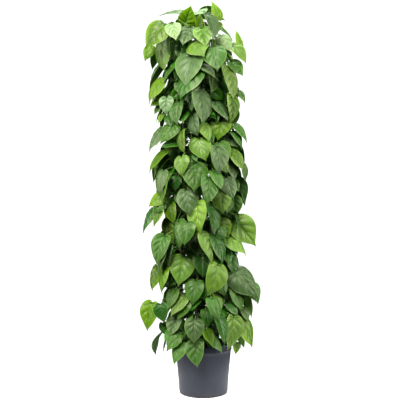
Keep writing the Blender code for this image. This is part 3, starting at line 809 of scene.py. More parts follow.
def rule_places(draw, placed):
    """Draws for the sides' and back's leaves in staggered rows, and for an inner layer at the front."""
    rows = int((ROWS_TO - ROWS_FROM) / ROW_STEP) + 1
    for row in range(rows):
        height = ROWS_FROM + row * ROW_STEP
        for column in range(PER_ROW):
            angle = math.remainder(math.tau * (column + 0.5 * (row % 2)) / PER_ROW, math.tau)
            inner = abs(angle) < FRONT_SECTOR
            places = [drawn_place(draw, angle, height, inner) for _ in range(ATTEMPTS)]
            yield [place for place in places if is_bare(place, placed)]


def crown_places(draw):
    """Draws for the leaves that roof the top: a ring of shoulders and a few over the middle."""
    for ring_angle, reach, height, nod, count in CROWN_RINGS:
        for number in range(count):
            angle = ring_angle + math.tau * number / count
            places = []
            for _ in range(ATTEMPTS):
                length = draw.uniform(*RULE_LENGTHS)
                fold = math.radians(draw.uniform(*FOLD_RANGE))
                lean = draw.uniform(-CROWN_LEAN, CROWN_LEAN)
                places.append((angle, height, reach, nod, lean, 0.0, length, fold, CROWN_CLIMB))
            yield places


def place_leaves(vines, draw):
    """The solids' leaves, and the guards that keep further leaves clear of them."""
    fixed = [shape_guard(stem_shape(vine, CLEARANCE), vine) for vine in vines]
    rim = RIM_RADIUS + CLEARANCE
    top = POT_HEIGHT + CLEARANCE
    pot_points = ((0.0, 0.0), (FOOT_RADIUS, 0.0), (rim, BAND_BOTTOM), (rim, top), (0.0, top))
    fixed.append(shape_guard(turned(pot_points, GUARD_SEGMENTS), None))
    ends = (axis_at(CAGE_BOTTOM), axis_at(CAGE_TOP))
    column = tube(ends, (CAGE_RADIUS + CAGE_THICKNESS,) * 2, CAGE_SIDES)
    fixed.append(shape_guard(column, None))
    guards = []
    placed = []
    for row in sorted(FRONT_LEAVES, key=lambda one: one[1] - SIDES_FIRST * abs(one[0])):
        fold = math.radians(draw.uniform(*FOLD_RANGE))
        placed.append(settle(front_slides(row, fold, vines), guards, fixed))
    front = [leaf for leaf in placed if leaf]
    for places in list(crown_places(draw)) + list(rule_places(draw, front)):
        placed.append(settle(rule_slides(places, vines), guards, fixed))
    return [leaf for leaf in placed if leaf], guards, fixed


def filling_leaf(draw, angle, height, reach, vines):
    """Small leaf with drawn directions and size."""
    nod = draw.uniform(*FILL_NODS)
    lean = draw.uniform(-FILL_LEAN, FILL_LEAN)
    turn = draw.uniform(-FILL_TURN, FILL_TURN)
    length = draw.uniform(*FILL_LENGTHS)
    fold = math.radians(draw.uniform(*FOLD_RANGE))
    return rule_leaf(angle, height, reach, nod, lean, turn, length, fold, vines)


def filling_places(draw, vines):
    """Leaves to try close round the column, row by row."""
    rows = int((FILL_ROWS[1] - FILL_ROWS[0]) / FILL_ROW_STEP) + 1
    for row in range(rows):
        for column in range(FILL_PER_ROW):
            tries = []
            for _ in range(FILL_ATTEMPTS):
                share = (column + draw.uniform(-FILL_ASIDE, FILL_ASIDE)) / FILL_PER_ROW
                angle = math.remainder(math.tau * share, math.tau)
                height = FILL_ROWS[0] + FILL_ROW_STEP * (row + draw.uniform(-FILL_RISE, FILL_RISE))
                at_foot = height < FOOT_TOP and abs(angle) > FRONT_SECTOR
                reach = draw.uniform(*(FOOT_REACH if at_foot else FILL_REACH))
                if height > CAGE_TOP:
                    reach = draw.uniform(*TOP_REACH)
                tries.append((filling_leaf(draw, angle, height, reach, vines),))
            yield tries


def inside_places(draw, vines):
    """Leaves to try inside the open column."""
    rows = int((INSIDE_ROWS[1] - INSIDE_ROWS[0]) / INSIDE_ROW_STEP) + 1
    for row in range(rows):
        for _ in range(INSIDE_PER_ROW):
            tries = []
            for _ in range(FILL_ATTEMPTS):
                height = INSIDE_ROWS[0] + INSIDE_ROW_STEP * (row + draw.uniform(-FILL_RISE, FILL_RISE))
                reach = draw.uniform(*INSIDE_REACH)
                tries.append((filling_leaf(draw, draw.uniform(0.0, math.tau), height, reach, vines),))
            yield tries


def place_filling(vines, guards, fixed):
    """Small leaves close round the column and inside it, wherever one hangs clear of leaves and stems.

    Those inside are not kept clear of the netting.
    """
    draw = random.Random(FILL_SEED)
    placed = [settle(tries, guards, fixed) for tries in filling_places(draw, vines)]
    stems = fixed[:VINES]
    placed += [settle(tries, guards, stems) for tries in inside_places(draw, vines)]
    placed = [leaf for leaf in placed if leaf]
    for leaf in placed:
        # Painted shade: the small filling leaves take the deep shaded tones
        leaf["tone"] = draw.choice(FILL_SHADE_TONES)
        leaf["small"] = True
    return placed


# Fine meshes, as arrays

class Parts:
    """Points, faces and point attributes of a piece, collected part by part."""

    def __init__(self):
        self.points = []
        self.faces = []
        self.sizes = []
        self.slots = []
        self.values = {"grid": [], "place": [], "tint": []}
        self.count = 0

    def add(self, points, faces, slot, grid=None, place=None, tint=None):
        """faces is a list of index rows; grid, place and tint are one row of three for each point."""
        count = len(points)
        self.points.append(points)
        for name, rows in (("grid", grid), ("place", place), ("tint", tint)):
            filled = np.zeros((count, 3)) if rows is None else np.broadcast_to(rows, (count, 3))
            self.values[name].append(filled)
        for block in faces:
            self.faces.append((block + self.count).ravel())
            self.sizes.append(np.full(len(block), block.shape[1]))
            self.slots.append(np.full(len(block), slot))
        self.count += count

    def mesh(self, name):
        points = np.concatenate(self.points)
        corners = np.concatenate(self.faces)
        sizes = np.concatenate(self.sizes)
        mesh = bpy.data.meshes.new(name)
        mesh.vertices.add(len(points))
        mesh.vertices.foreach_set("co", points.astype(np.float32).ravel())
        mesh.loops.add(len(corners))
        mesh.loops.foreach_set("vertex_index", corners.astype(np.int32))
        mesh.polygons.add(len(sizes))
        mesh.polygons.foreach_set("loop_start", (np.cumsum(sizes) - sizes).astype(np.int32))
        mesh.polygons.foreach_set("material_index", np.concatenate(self.slots).astype(np.int32))
        for attribute, rows in self.values.items():
            made = mesh.attributes.new(attribute, "FLOAT_VECTOR", "POINT")
            made.data.foreach_set("vector", np.concatenate(rows).astype(np.float32).ravel())
        mesh.update(calc_edges=True)
        mesh.validate()
        return mesh


def spline(points, shares):
    """Points at shares of the length of a smooth curve through the given ones."""
    points = np.array(points, float)
    ends = np.vstack([2 * points[0] - points[1], points, 2 * points[-1] - points[-2]])
    fine = []
    for index in range(len(points) - 1):
        before, start, stop, after = ends[index:index + 4]
        for step in np.linspace(0.0, 1.0, 12, endpoint=False):
            fine.append(0.5 * (
                2 * start + (stop - before) * step
                + (2 * before - 5 * start + 4 * stop - after) * step ** 2
                + (3 * start - before - 3 * stop + after) * step ** 3
            ))
    fine.append(points[-1])
    fine = np.array(fine)
    length = np.concatenate([[0.0], np.cumsum(np.linalg.norm(np.diff(fine, axis=0), axis=1))])
    return np.stack([np.interp(np.array(shares) * length[-1], length, fine[:, axis]) for axis in (0, 1)], 1)


def leaf_template(rows, columns):
    """A blade's grid: lines run from the midrib out to the margin along the side veins.

    Gives (across, along, vein number, reach to the margin, side) for each point, the faces of one layer,
    and the loop of points round the margin.
    """
    margin = spline(FINE_OUTLINE, np.linspace(0.0, 1.0, rows + 1))
    found = {}
    points = []

    def point(row, column, side):
        across_end, along_end = margin[row]
        reach = column / columns
        start = max(0.0, along_end) ** VEIN_SWEEP
        rise = reach ** (1.25 if along_end > 0 else 0.9)
        across = side * across_end * reach
        along = start + (along_end - start) * rise
        key = (round(across, 5), round(along, 5))
        if key not in found:
            found[key] = len(points)
            points.append((across, along, VEINS * row / rows, reach, side))
        return found[key]

    quads = []
    triangles = []
    for side in (-1, 1):
        for row in range(rows):
            for column in range(columns):
                corners = [
                    point(row, column, side), point(row, column + 1, side),
                    point(row + 1, column + 1, side), point(row + 1, column, side),
                ]
                if side < 0:
                    corners.reverse()
                corners = list(dict.fromkeys(corners))
                if len(corners) == 4:
                    quads.append(corners)
                elif len(corners) == 3:
                    triangles.append(corners)
    loop = [point(row, columns, 1) for row in range(rows)]
    loop += [point(row, columns, -1) for row in range(rows, 0, -1)]
    return np.array(points), np.array(quads), np.array(triangles), np.array(loop)


def bent_along(leaf, along):
    """Arch of the blade above its chord, highest near the base; the drip tip curls on downward."""
    rising = 1.0 - np.maximum(0.0, 1.0 - along / PEAK) ** 2
    falling = 1.0 - (np.maximum(0.0, along - PEAK) / (1.0 - PEAK)) ** 2
    arch = leaf["arch"] * leaf["length"] * np.minimum(rising, falling)
    return arch - leaf["curl"] * leaf["length"] * np.maximum(0.0, along - TIP_START) ** 2


def add_blade(parts, leaf, template):
    """Closed thin blade: quilted between its side veins, folded at the midrib, waved at the margin."""
    grid, quads, triangles, loop = template
    across, along, vein, reach, side = grid.T
    half = leaf["width"] / 2
    inner = np.sqrt(across ** 2 + 0.01) - 0.1
    fold = -math.tan(leaf["fold"]) * half * (0.5 * inner + 0.5 * across ** 2)
    dome = np.abs(np.sin(math.pi * vein)) ** 0.8 * (4.0 * reach * (1.0 - reach)) ** 0.8
    quilt = leaf["quilt"] * leaf["width"] * dome * np.clip(1.3 - along, 0.0, 1.0)
    bulge = leaf["bulge"] * leaf["width"] * np.sin(math.pi * reach) * np.clip(1.1 - along, 0.0, 1.0)
    wave = WAVE * leaf["width"] * reach ** 2 * np.sin(vein * 1.9 + leaf["phase"] + side)
    wave = wave * (np.abs(across) > 0)
    groove = -GROOVE_DEPTH * np.exp(-(across / 0.05) ** 2)
    lift = bent_along(leaf, along) + fold + quilt + bulge + wave + groove
    thick = (BLADE_EDGE + (BLADE_MIDDLE - BLADE_EDGE) * (1.0 - reach)) / 2
    sway = leaf["sway"] * leaf["length"] * along * np.abs(along)
    plane = (
        np.array(leaf["base"])
        + np.outer(across * half + sway, leaf["side"])
        + np.outer(along * leaf["length"], leaf["along"])
    )
    count = len(grid)
    points = np.vstack([
        plane + np.outer(lift + thick, leaf["face"]),
        plane + np.outer(lift - thick, leaf["face"]),
    ])
    rim = np.stack([loop, np.roll(loop, -1)], 1)
    rim = np.hstack([rim[:, ::-1], rim + count])
    faces = [quads, triangles, quads[:, ::-1] + count, triangles[:, ::-1] + count, rim]
    values = np.stack([vein, reach, across], 1)
    back = np.repeat([0.0, 1.0], count)
    place = np.stack([np.tile(along, 2), back, np.full(2 * count, leaf["edge"])], 1)
    parts.add(points, faces, 0, np.tile(values, (2, 1)), place, leaf["tint"])


def tube_arrays(path, radii, sides):
    """Round tube along any path, with a point at each end."""
    path = np.array(path, float)
    heading = np.gradient(path, axis=0)
    heading /= np.linalg.norm(heading, axis=1)[:, None]
    level = np.cross(heading[0], (0.0, 0.0, 1.0) if abs(heading[0][2]) < 0.9 else (1.0, 0.0, 0.0))
    rings = []
    for centre, ahead, radius in zip(path, heading, radii):
        level = level - ahead * level.dot(ahead)
        level /= np.linalg.norm(level)
        other = np.cross(ahead, level)
        angles = math.tau * np.arange(sides) / sides
        rings.append(centre + radius * (np.outer(np.cos(angles), level) + np.outer(np.sin(angles), other)))
    start = path[0] - heading[0] * radii[0] * 0.5
    stop = path[-1] + heading[-1] * radii[-1] * 0.5
    points = np.vstack([*rings, start, stop])
    quads = []
    for ring in range(len(path) - 1):
        for side in range(sides):
            after = (side + 1) % sides
            low = ring * sides
            quads.append((low + side, low + after, low + sides + after, low + sides + side))
    last = (len(path) - 1) * sides
    first_cap = [(side, len(path) * sides, (side + 1) % sides) for side in range(sides)]
    last_cap = [(last + side, last + (side + 1) % sides, len(path) * sides + 1) for side in range(sides)]
    return points, [np.array(quads), np.array(first_cap + last_cap)]


def bezier(points, steps):
    """Points along a curve with four handles."""
    a, b, c, d = (np.array(point, float) for point in points)
    shares = np.linspace(0.0, 1.0, steps)[:, None]
    rest = 1.0 - shares
    return a * rest ** 3 + 3 * b * rest ** 2 * shares + 3 * c * rest * shares ** 2 + d * shares ** 3


def add_petiole(parts, leaf):
    """Thin stalk that leaves its stem rising and bends over into the blade."""
    root = leaf["root"]
    base = leaf["base"]
    reach = (base - root).length
    towards = (base - root) / reach
    path = bezier((
        root,
        root + towards * 0.35 * reach + Vector((0.0, 0.0, 0.10 * reach)),
        base - towards * 0.22 * reach - leaf["along"] * 0.12 * reach,
        base + leaf["along"] * 0.02 * leaf["length"],
    ), PETIOLE_STEPS)
    shares = np.linspace(0.0, 1.0, PETIOLE_STEPS)
    radii = np.interp(shares, PETIOLE_SHARES, PETIOLE_RADII)
    points, faces = tube_arrays(path, radii * leaf["girth"], PETIOLE_SIDES)
    place = np.zeros((len(points), 3))
    place[:-2, 0] = np.repeat(shares, PETIOLE_SIDES)
    place[-1, 0] = 1.0
    parts.add(points, faces, 1, place=place, tint=leaf["tint"])


def add_stem(parts, vine, draw):
    """Round stem with a thicker node every few centimetres, wandering a little."""
    count = int((vine["top"] - STEM_BOTTOM) / STEM_RING_STEP)
    heights = np.linspace(STEM_BOTTOM, vine["top"], count)
    phase = draw.uniform(0.0, NODE_SPACING)
    swelling = np.exp(-((np.mod(heights + phase, NODE_SPACING) - NODE_SPACING / 2) / NODE_LENGTH) ** 2)
    path = [vine_point(vine, height) for height in heights]
    radii = [stem_radius(vine, height) for height in heights]
    radii = np.array(radii) * (STEM_SWELLING[0] + STEM_SWELLING[1] * swelling)
    points, faces = tube_arrays(path, radii, FINE_STEM_SIDES)
    place = np.zeros((len(points), 3))
    place[:-2, 0] = np.repeat((heights - STEM_BOTTOM) / (vine["top"] - STEM_BOTTOM), FINE_STEM_SIDES)
    place[:-2, 2] = np.repeat(swelling, FINE_STEM_SIDES)
    parts.add(points, faces, 2, place=place)


def add_roots(parts, vine, draw):
    """A few thin aerial roots that hang from the stem at drawn heights."""
    for _ in range(AERIAL_ROOTS):
        height = draw.uniform(SOIL_TOP + 0.15, vine["top"] - 0.10)
        start = vine_point(vine, height)
        away = outward(vine["angle"] + TWIST * height + draw.uniform(-AERIAL_TURN, AERIAL_TURN))
        length = draw.uniform(*AERIAL_LENGTHS)
        path = bezier((
            start,
            start + away * 0.5 * length,
            start + away * 0.7 * length - Vector((0.0, 0.0, 0.4 * length)),
            start + away * 0.6 * length - Vector((0.0, 0.0, 1.1 * length)),
        ), AERIAL_STEPS)
        radii = np.linspace(*AERIAL_RADII, AERIAL_STEPS)
        points, faces = tube_arrays(path, radii, AERIAL_SIDES)
        place = np.zeros((len(points), 3))
        place[:, 1] = 1.0
        parts.add(points, faces, 2, place=place)


def add_shoots(parts, vine, vines):
    """Bare young shoots, each from the nearest stem."""
    for start, end in SHOOTS:
        start = Vector(start) / 1000.0
        end = Vector(end) / 1000.0
        nearest = min(vines, key=lambda one: (vine_point(one, start.z) - start).length)
        if nearest is not vine:
            continue
        root = vine_point(vine, min(start.z, vine["top"]))
        sagging = start.lerp(end, 0.7) - Vector((0.0, 0.0, SHOOT_SAG))
        path = bezier((root, start, sagging, end), SHOOT_STEPS)
        points, faces = tube_arrays(path, np.linspace(*SHOOT_RADII, SHOOT_STEPS), SHOOT_SIDES)
        place = np.zeros((len(points), 3))
        place[:, 0] = 1.0
        parts.add(points, faces, 1, place=place)


def dress_leaf(leaf, draw):
    """Tint and small irregularities of one leaf."""
    if "tone" not in leaf:
        leaf["tone"] = draw.choice(RULE_TONES)
    value = draw.uniform(*VALUE_RANGE)
    warm = draw.uniform(*WARM_RANGE)
    red, green, blue = TONES[leaf["tone"]]
    leaf["tint"] = np.array((red * value * (1.0 + warm), green * value, blue * value * (1.0 - warm)))
    leaf["edge"] = 1.0 if leaf["tone"] == EDGED else draw.uniform(*PLAIN_EDGES)
    for name, (size, low, high) in LEAF_DRAWS.items():
        leaf[name] = size * draw.uniform(low, high)
    leaf["girth"] = 0.55 + 0.45 * leaf["length"] / 0.12


def make_vine(number, vine, vines, leaves, templates, materials):
    draw = random.Random(VINE_SEED + number)
    parts = Parts()
    add_stem(parts, vine, draw)
    add_roots(parts, vine, draw)
    add_shoots(parts, vine, vines)
    for leaf in leaves:
        if leaf["vine"] is vine:
            dress_leaf(leaf, draw)
            add_blade(parts, leaf, templates["small" in leaf])
            add_petiole(parts, leaf)
    node = f"vine_{number:02d}"
    item = new_object(f"{node}_foliage", parts.mesh(node), *materials)
    smooth(item, 50)
    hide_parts(node)
    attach(item, "root")


# Pot, soil and net

def apply_boolean(item, cutters):
    """Cut objects out of an item and remove them."""
    group = bpy.data.collections.new("cutters")
    for cutter in cutters:
        bpy.context.scene.collection.objects.unlink(cutter)
        group.objects.link(cutter)
    bpy.context.scene.collection.children.link(group)
    boolean = item.modifiers.new("Boolean", "BOOLEAN")
    boolean.operand_type = "COLLECTION"
    boolean.collection = group
    boolean.operation = "DIFFERENCE"
    boolean.solver = "EXACT"
    bpy.context.view_layer.objects.active = item
    bpy.ops.object.modifier_apply(modifier=boolean.name)
    for cutter in list(group.objects):
        bpy.data.objects.remove(cutter, do_unlink=True)
    bpy.data.collections.remove(group)


def rounded(corner, before, after, radius, steps=4):
    """Points of a rounded corner of a profile."""
    corner, before, after = (Vector(point) for point in (corner, before, after))
    start = corner + (before - corner).normalized() * radius
    stop = corner + (after - corner).normalized() * radius
    points = []
    for step in range(steps + 1):
        share = step / steps
        points.append(tuple(start.lerp(corner, share).lerp(corner.lerp(stop, share), share)))
    return points


def make_pot(material):
    inside = wall_radius(BAND_BOTTOM) - WALL
    heights = np.linspace(WALL_START, BAND_BOTTOM - 0.003, WALL_RINGS)
    wall = [(wall_radius(height), height) for height in heights]
    profile = [(0.0, 0.0)]
    profile += rounded((FOOT_RADIUS, 0.0), (0.0, 0.0), wall[0], FOOT_ROUNDING)
    profile += wall
    profile += rounded(
        (wall_radius(BAND_BOTTOM), BAND_BOTTOM), wall[-1], (RIM_RADIUS, BAND_BOTTOM + 0.0006),
        EDGE_ROUNDING, 3)
    profile += rounded(
        (RIM_RADIUS - 0.0004, BAND_BOTTOM + 0.0008), wall[-1], (RIM_RADIUS, POT_HEIGHT),
        EDGE_ROUNDING, 3)
    profile += rounded((RIM_RADIUS, POT_HEIGHT), (RIM_RADIUS, BAND_BOTTOM), (0.0, POT_HEIGHT), RIM_ROUNDING)
    profile += rounded(
        (RIM_RADIUS - BAND_WALL, POT_HEIGHT), (RIM_RADIUS, POT_HEIGHT), (inside, BAND_BOTTOM),
        EDGE_ROUNDING)
    profile += [(inside, BAND_BOTTOM - WALL), (wall_radius(BASE_THICKNESS) - WALL, BASE_THICKNESS)]
    profile += [(0.0, BASE_THICKNESS)]
    shape = turned(profile, POT_SEGMENTS)
    for vertex in shape.verts:
        height = vertex.co.z
        reach = math.hypot(vertex.co.x, vertex.co.y)
        if reach > wall_radius(height) - WALL / 2 and RIB_BOTTOM < height < BAND_BOTTOM - 0.002:
            angle = math.atan2(vertex.co.y, vertex.co.x)
            scale = 1.0 + RIB_DEPTH / reach * (math.cos(RIBS * angle) - 1.0)
            vertex.co.x *= scale
            vertex.co.y *= scale
    pot = bmesh_object("nursery_pot", shape, material)
    cutters = []
    for hole in range(DRAIN_HOLES):
        angle = math.tau * hole / DRAIN_HOLES
        centre = Vector((math.cos(angle), math.sin(angle), 0.0)) * DRAIN_CIRCLE
        ends = (centre - Vector((0, 0, 0.005)), centre + Vector((0, 0, 0.010)))
        cutters.append(bmesh_object("drain", tube(ends, (DRAIN_HOLE_RADIUS,) * 2, 20)))
    for slot in range(SLOTS):
        angle = math.tau * slot / SLOTS - math.pi / 2
        shape = bmesh.new()
        bmesh.ops.create_cube(shape, size=1.0)
        bmesh.ops.scale(shape, vec=SLOT_SIZE, verts=shape.verts)
        cutter = bmesh_object("slot", shape)
        cutter.location = (FOOT_RADIUS * math.cos(angle), FOOT_RADIUS * math.sin(angle), 0.0)
        cutter.rotation_euler.z = angle
        cutters.append(cutter)
    apply_boolean(pot, cutters)
    smooth(pot, 35)
    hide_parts("pot")
    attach(pot, "root")


def make_soil(material):
    """Potting mix with a crumbly top and loose crumbs on it."""
    bottom = BASE_THICKNESS + GAP
    outer_bottom = wall_radius(bottom) - WALL - GAP
    outer_top = wall_radius(SOIL_TOP) - WALL - GAP
    profile = [(0.0, bottom), (outer_bottom, bottom), (outer_top, SOIL_TOP - 2 * SOIL_DROP)]
    profile += [(outer_top * share, SOIL_TOP - SOIL_DROP) for share in np.linspace(1.0, 0.0, SOIL_RINGS)]
    shape = turned(profile, SOIL_SEGMENTS)
    for vertex in shape.verts:
        if vertex.co.z > SOIL_TOP - 0.003:
            rough = noise.fractal(vertex.co * 90.0, 0.6, 2.1, 4)
            vertex.co.z += SOIL_ROUGHNESS * rough + 0.0035
    draw = random.Random(CRUMB_SEED)
    for _ in range(CRUMBS):
        angle = draw.uniform(0.0, math.tau)
        reach = outer_top * 0.97 * math.sqrt(draw.random())
        size = draw.uniform(*CRUMB_SIZES)
        made = bmesh.ops.create_icosphere(shape, subdivisions=1, radius=size)
        squash = Vector((draw.uniform(0.7, 1.4), draw.uniform(0.7, 1.4), draw.uniform(0.5, 0.9)))
        place = Vector((reach * math.cos(angle), reach * math.sin(angle), SOIL_TOP + SOIL_DROP))
        for vertex in made["verts"]:
            jitter = 1.0 + draw.uniform(-CRUMB_JITTER, CRUMB_JITTER)
            vertex.co = Vector(a * b for a, b in zip(vertex.co, squash)) * jitter + place
    soil = bmesh_object("potting_mix", shape, material)
    smooth(soil, 40)
    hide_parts("soil")
    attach(soil, "root")


def make_net(material):
    """Rolled black netting: welded strands of even width round square windows."""
    shape = bmesh.new()
    rings = []
    for row in range(NET_ROWS + 1):
        height = CAGE_BOTTOM + (CAGE_TOP - CAGE_BOTTOM) * row / NET_ROWS
        ring = []
        for column in range(NET_COLUMNS):
            angle = math.tau * column / NET_COLUMNS
            ring.append(shape.verts.new(axis_at(height) + outward(angle) * CAGE_RADIUS))
        rings.append(ring)
    join_rings(shape, rings)
    windows = list(shape.faces)
    bmesh.ops.inset_individual(shape, faces=windows, thickness=NET_STRAND / 2, use_even_offset=True)
    bmesh.ops.delete(shape, geom=windows, context="FACES_ONLY")
    net = bmesh_object("support_netting", shape, material)
    solidify = net.modifiers.new("Solidify", "SOLIDIFY")
    solidify.thickness = NET_THICKNESS
    solidify.offset = 0.0
    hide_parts("support_column")
    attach(net, "root")


# Materials

class Nodes:
    """Short way to write a material's nodes."""

    def __init__(self, tree):
        self.tree = tree

    def add(self, kind, values=None, **settings):
        """New node; values maps input names or numbers to a socket or a value."""
        made = self.tree.nodes.new(kind)
        for name, value in settings.items():
            setattr(made, name, value)
        for name, value in (values or {}).items():
            if isinstance(value, bpy.types.NodeSocket):
                self.tree.links.new(value, made.inputs[name])
            else:
                made.inputs[name].default_value = value
        return made

    def math(self, operation, first, second=0.0, third=0.0):
        return self.add("ShaderNodeMath", {0: first, 1: second, 2: third}, operation=operation).outputs[0]

    def ramp(self, value, low, high, to_low=0.0, to_high=1.0):
        """Smooth step of a value between low and high."""
        made = self.add("ShaderNodeMapRange", {
            "Value": value, "From Min": low, "From Max": high, "To Min": to_low, "To Max": to_high,
        }, interpolation_type="SMOOTHSTEP")
        return made.outputs["Result"]

    def mix(self, share, first, second, blend="MIX"):
        made = self.add("ShaderNodeMix", data_type="RGBA", blend_type=blend)
        for name, value in ((0, share), (6, first), (7, second)):
            if isinstance(value, bpy.types.NodeSocket):
                self.tree.links.new(value, made.inputs[name])
            elif name == 0:
                made.inputs[name].default_value = value
            else:
                made.inputs[name].default_value = (*value, 1.0)
        return made.outputs[2]

    def noise(self, place, scale, detail=3.0, roughness=0.5):
        values = {"Vector": place, "Scale": scale, "Detail": detail, "Roughness": roughness}
        return self.add("ShaderNodeTexNoise", values).outputs["Fac"]

    def split(self, vector):
        return self.add("ShaderNodeSeparateXYZ", {0: vector}).outputs

    def attribute(self, name):
        return self.add("ShaderNodeAttribute", attribute_name=name).outputs["Vector"]

    def object_place(self):
        return self.add("ShaderNodeTexCoord").outputs["Object"]

    def surface(self, shader, colour, roughness, relief, strength, distance):
        """Connect a colour, a roughness and a relief to a shader."""
        bump = self.add("ShaderNodeBump", {"Height": relief, "Strength": strength, "Distance": distance})
        self.tree.links.new(colour, shader.inputs["Base Color"])
        self.tree.links.new(bump.outputs["Normal"], shader.inputs["Normal"])
        if isinstance(roughness, float):
            shader.inputs["Roughness"].default_value = roughness
        else:
            self.tree.links.new(roughness, shader.inputs["Roughness"])


def new_material(name):
    material = bpy.data.materials.new(name)
    material.use_nodes = True
    tree = material.node_tree
    return material, Nodes(tree), tree.nodes["Principled BSDF"], tree.nodes["Material Output"]


def leaf_material():
    material, nodes, shader, output = new_material("leaf_blade")
    vein, reach, across = nodes.split(nodes.attribute("grid"))
    along, back, edged = nodes.split(nodes.attribute("place"))
    tint = nodes.attribute("tint")
    place = nodes.object_place()
    width = nodes.math("ABSOLUTE", across)
    # Lines of the midrib, the side veins and the margin
    midrib = nodes.math("MULTIPLY", nodes.ramp(width, 0.045, 0.008), nodes.ramp(along, 1.0, 0.75))
    nearest = nodes.math("ABSOLUTE", nodes.math("SUBTRACT", vein, nodes.math("ROUND", vein)))
    fading = nodes.math("MULTIPLY", nodes.ramp(reach, 1.0, 0.45), nodes.ramp(width, 0.0, 0.08))
    side_vein = nodes.math("MULTIPLY", nodes.ramp(nearest, 0.10, 0.02), fading)
    # Creases beside the side veins, darkened below as painted shade
    painted_crease_shade = nodes.math("MULTIPLY", nodes.ramp(nearest, 0.26, 0.06), fading)
    margin = nodes.ramp(reach, 0.93, 0.985)
    # Mottling, paler towards the margin; painted shade darkens the creases beside the side veins, which
    # leaves the domes between them paler
    cloud = nodes.noise(place, 34.0, 3.0, 0.6)
    fine = nodes.noise(place, 420.0, 2.0, 0.5)
    dull = nodes.mix(1.0, tint, (0.72, 0.80, 0.78), "MULTIPLY")
    colour = nodes.mix(nodes.ramp(cloud, 0.35, 0.70), tint, dull)
    # Painted shade: the creases beside the side veins are darkened towards a deep shade of the tint
    shade = nodes.mix(1.0, tint, (0.36, 0.46, 0.40), "MULTIPLY")
    colour = nodes.mix(nodes.math("MULTIPLY", painted_crease_shade, 0.75), colour, shade)
    yellow = nodes.mix(0.5, tint, (0.20, 0.34, 0.02))
    rim_share = nodes.math("MULTIPLY", nodes.ramp(reach, 0.55, 0.95), nodes.math("MULTIPLY", edged, 0.9))
    colour = nodes.mix(rim_share, colour, yellow)
    pale = nodes.mix(0.55, tint, (0.42, 0.52, 0.26))
    colour = nodes.mix(nodes.math("MULTIPLY", side_vein, 0.30), colour, pale)
    colour = nodes.mix(nodes.math("MULTIPLY", midrib, 0.42), colour, pale)
    colour = nodes.mix(nodes.math("MULTIPLY", margin, 0.45), colour, pale)
    underside = nodes.mix(0.5, tint, (0.24, 0.34, 0.17))
    colour = nodes.mix(nodes.math("MULTIPLY", back, 0.45), colour, underside)
    # Relief of the smallest veins, under the wax
    cells = nodes.add("ShaderNodeTexVoronoi", {"Vector": place, "Scale": 330.0}, feature="DISTANCE_TO_EDGE")
    net = nodes.ramp(cells.outputs["Distance"], 0.0, 0.12)
    height = nodes.math("ADD", nodes.math("MULTIPLY", net, 0.35), nodes.math("MULTIPLY", fine, 0.5))
    height = nodes.math("SUBTRACT", height, nodes.math("MULTIPLY", side_vein, 0.9))
    rough = nodes.ramp(cloud, 0.3, 0.8, 0.36, 0.46)
    rough = nodes.math("ADD", rough, nodes.math("MULTIPLY", back, 0.18))
    nodes.surface(shader, colour, rough, height, 0.40, 0.0006)
    shader.inputs["Specular IOR Level"].default_value = 0.50
    shader.inputs["Specular Tint"].default_value = (1.0, 0.95, 0.78, 1.0)
    glow = nodes.mix(1.0, colour, (1.3, 1.4, 0.3), "MULTIPLY")
    through = nodes.add("ShaderNodeBsdfTranslucent", {"Color": glow})
    both = nodes.add("ShaderNodeMixShader", {0: 0.34, 1: shader.outputs[0], 2: through.outputs[0]})
    material.node_tree.links.new(both.outputs[0], output.inputs["Surface"])
    return material


def petiole_material():
    material, nodes, shader, _ = new_material("petiole")
    along, _, _ = nodes.split(nodes.attribute("place"))
    streak = nodes.noise(nodes.object_place(), 160.0, 3.0)
    colour = nodes.mix(along, (0.115, 0.215, 0.045), (0.235, 0.345, 0.110))
    colour = nodes.mix(nodes.ramp(streak, 0.4, 0.7, 0.0, 0.5), colour, (0.16, 0.17, 0.05))
    nodes.surface(shader, colour, nodes.ramp(streak, 0.3, 0.7, 0.38, 0.5), streak, 0.2, 0.0004)
    return material


def stem_material():
    """Green at the top, woody and brownish below; aerial roots are brown throughout."""
    material, nodes, shader, _ = new_material("stem")
    along, root, swelling = nodes.split(nodes.attribute("place"))
    place = nodes.object_place()
    streak = nodes.noise(place, 120.0, 4.0, 0.6)
    colour = nodes.mix(nodes.ramp(along, 0.15, 0.9), (0.085, 0.075, 0.035), (0.105, 0.190, 0.050))
    colour = nodes.mix(nodes.ramp(streak, 0.45, 0.7, 0.0, 0.6), colour, (0.13, 0.10, 0.055))
    colour = nodes.mix(nodes.math("MULTIPLY", swelling, 0.5), colour, (0.10, 0.07, 0.04))
    colour = nodes.mix(root, colour, (0.16, 0.095, 0.05))
    nodes.surface(shader, colour, nodes.ramp(streak, 0.3, 0.7, 0.5, 0.7), streak, 0.4, 0.0006)
    return material


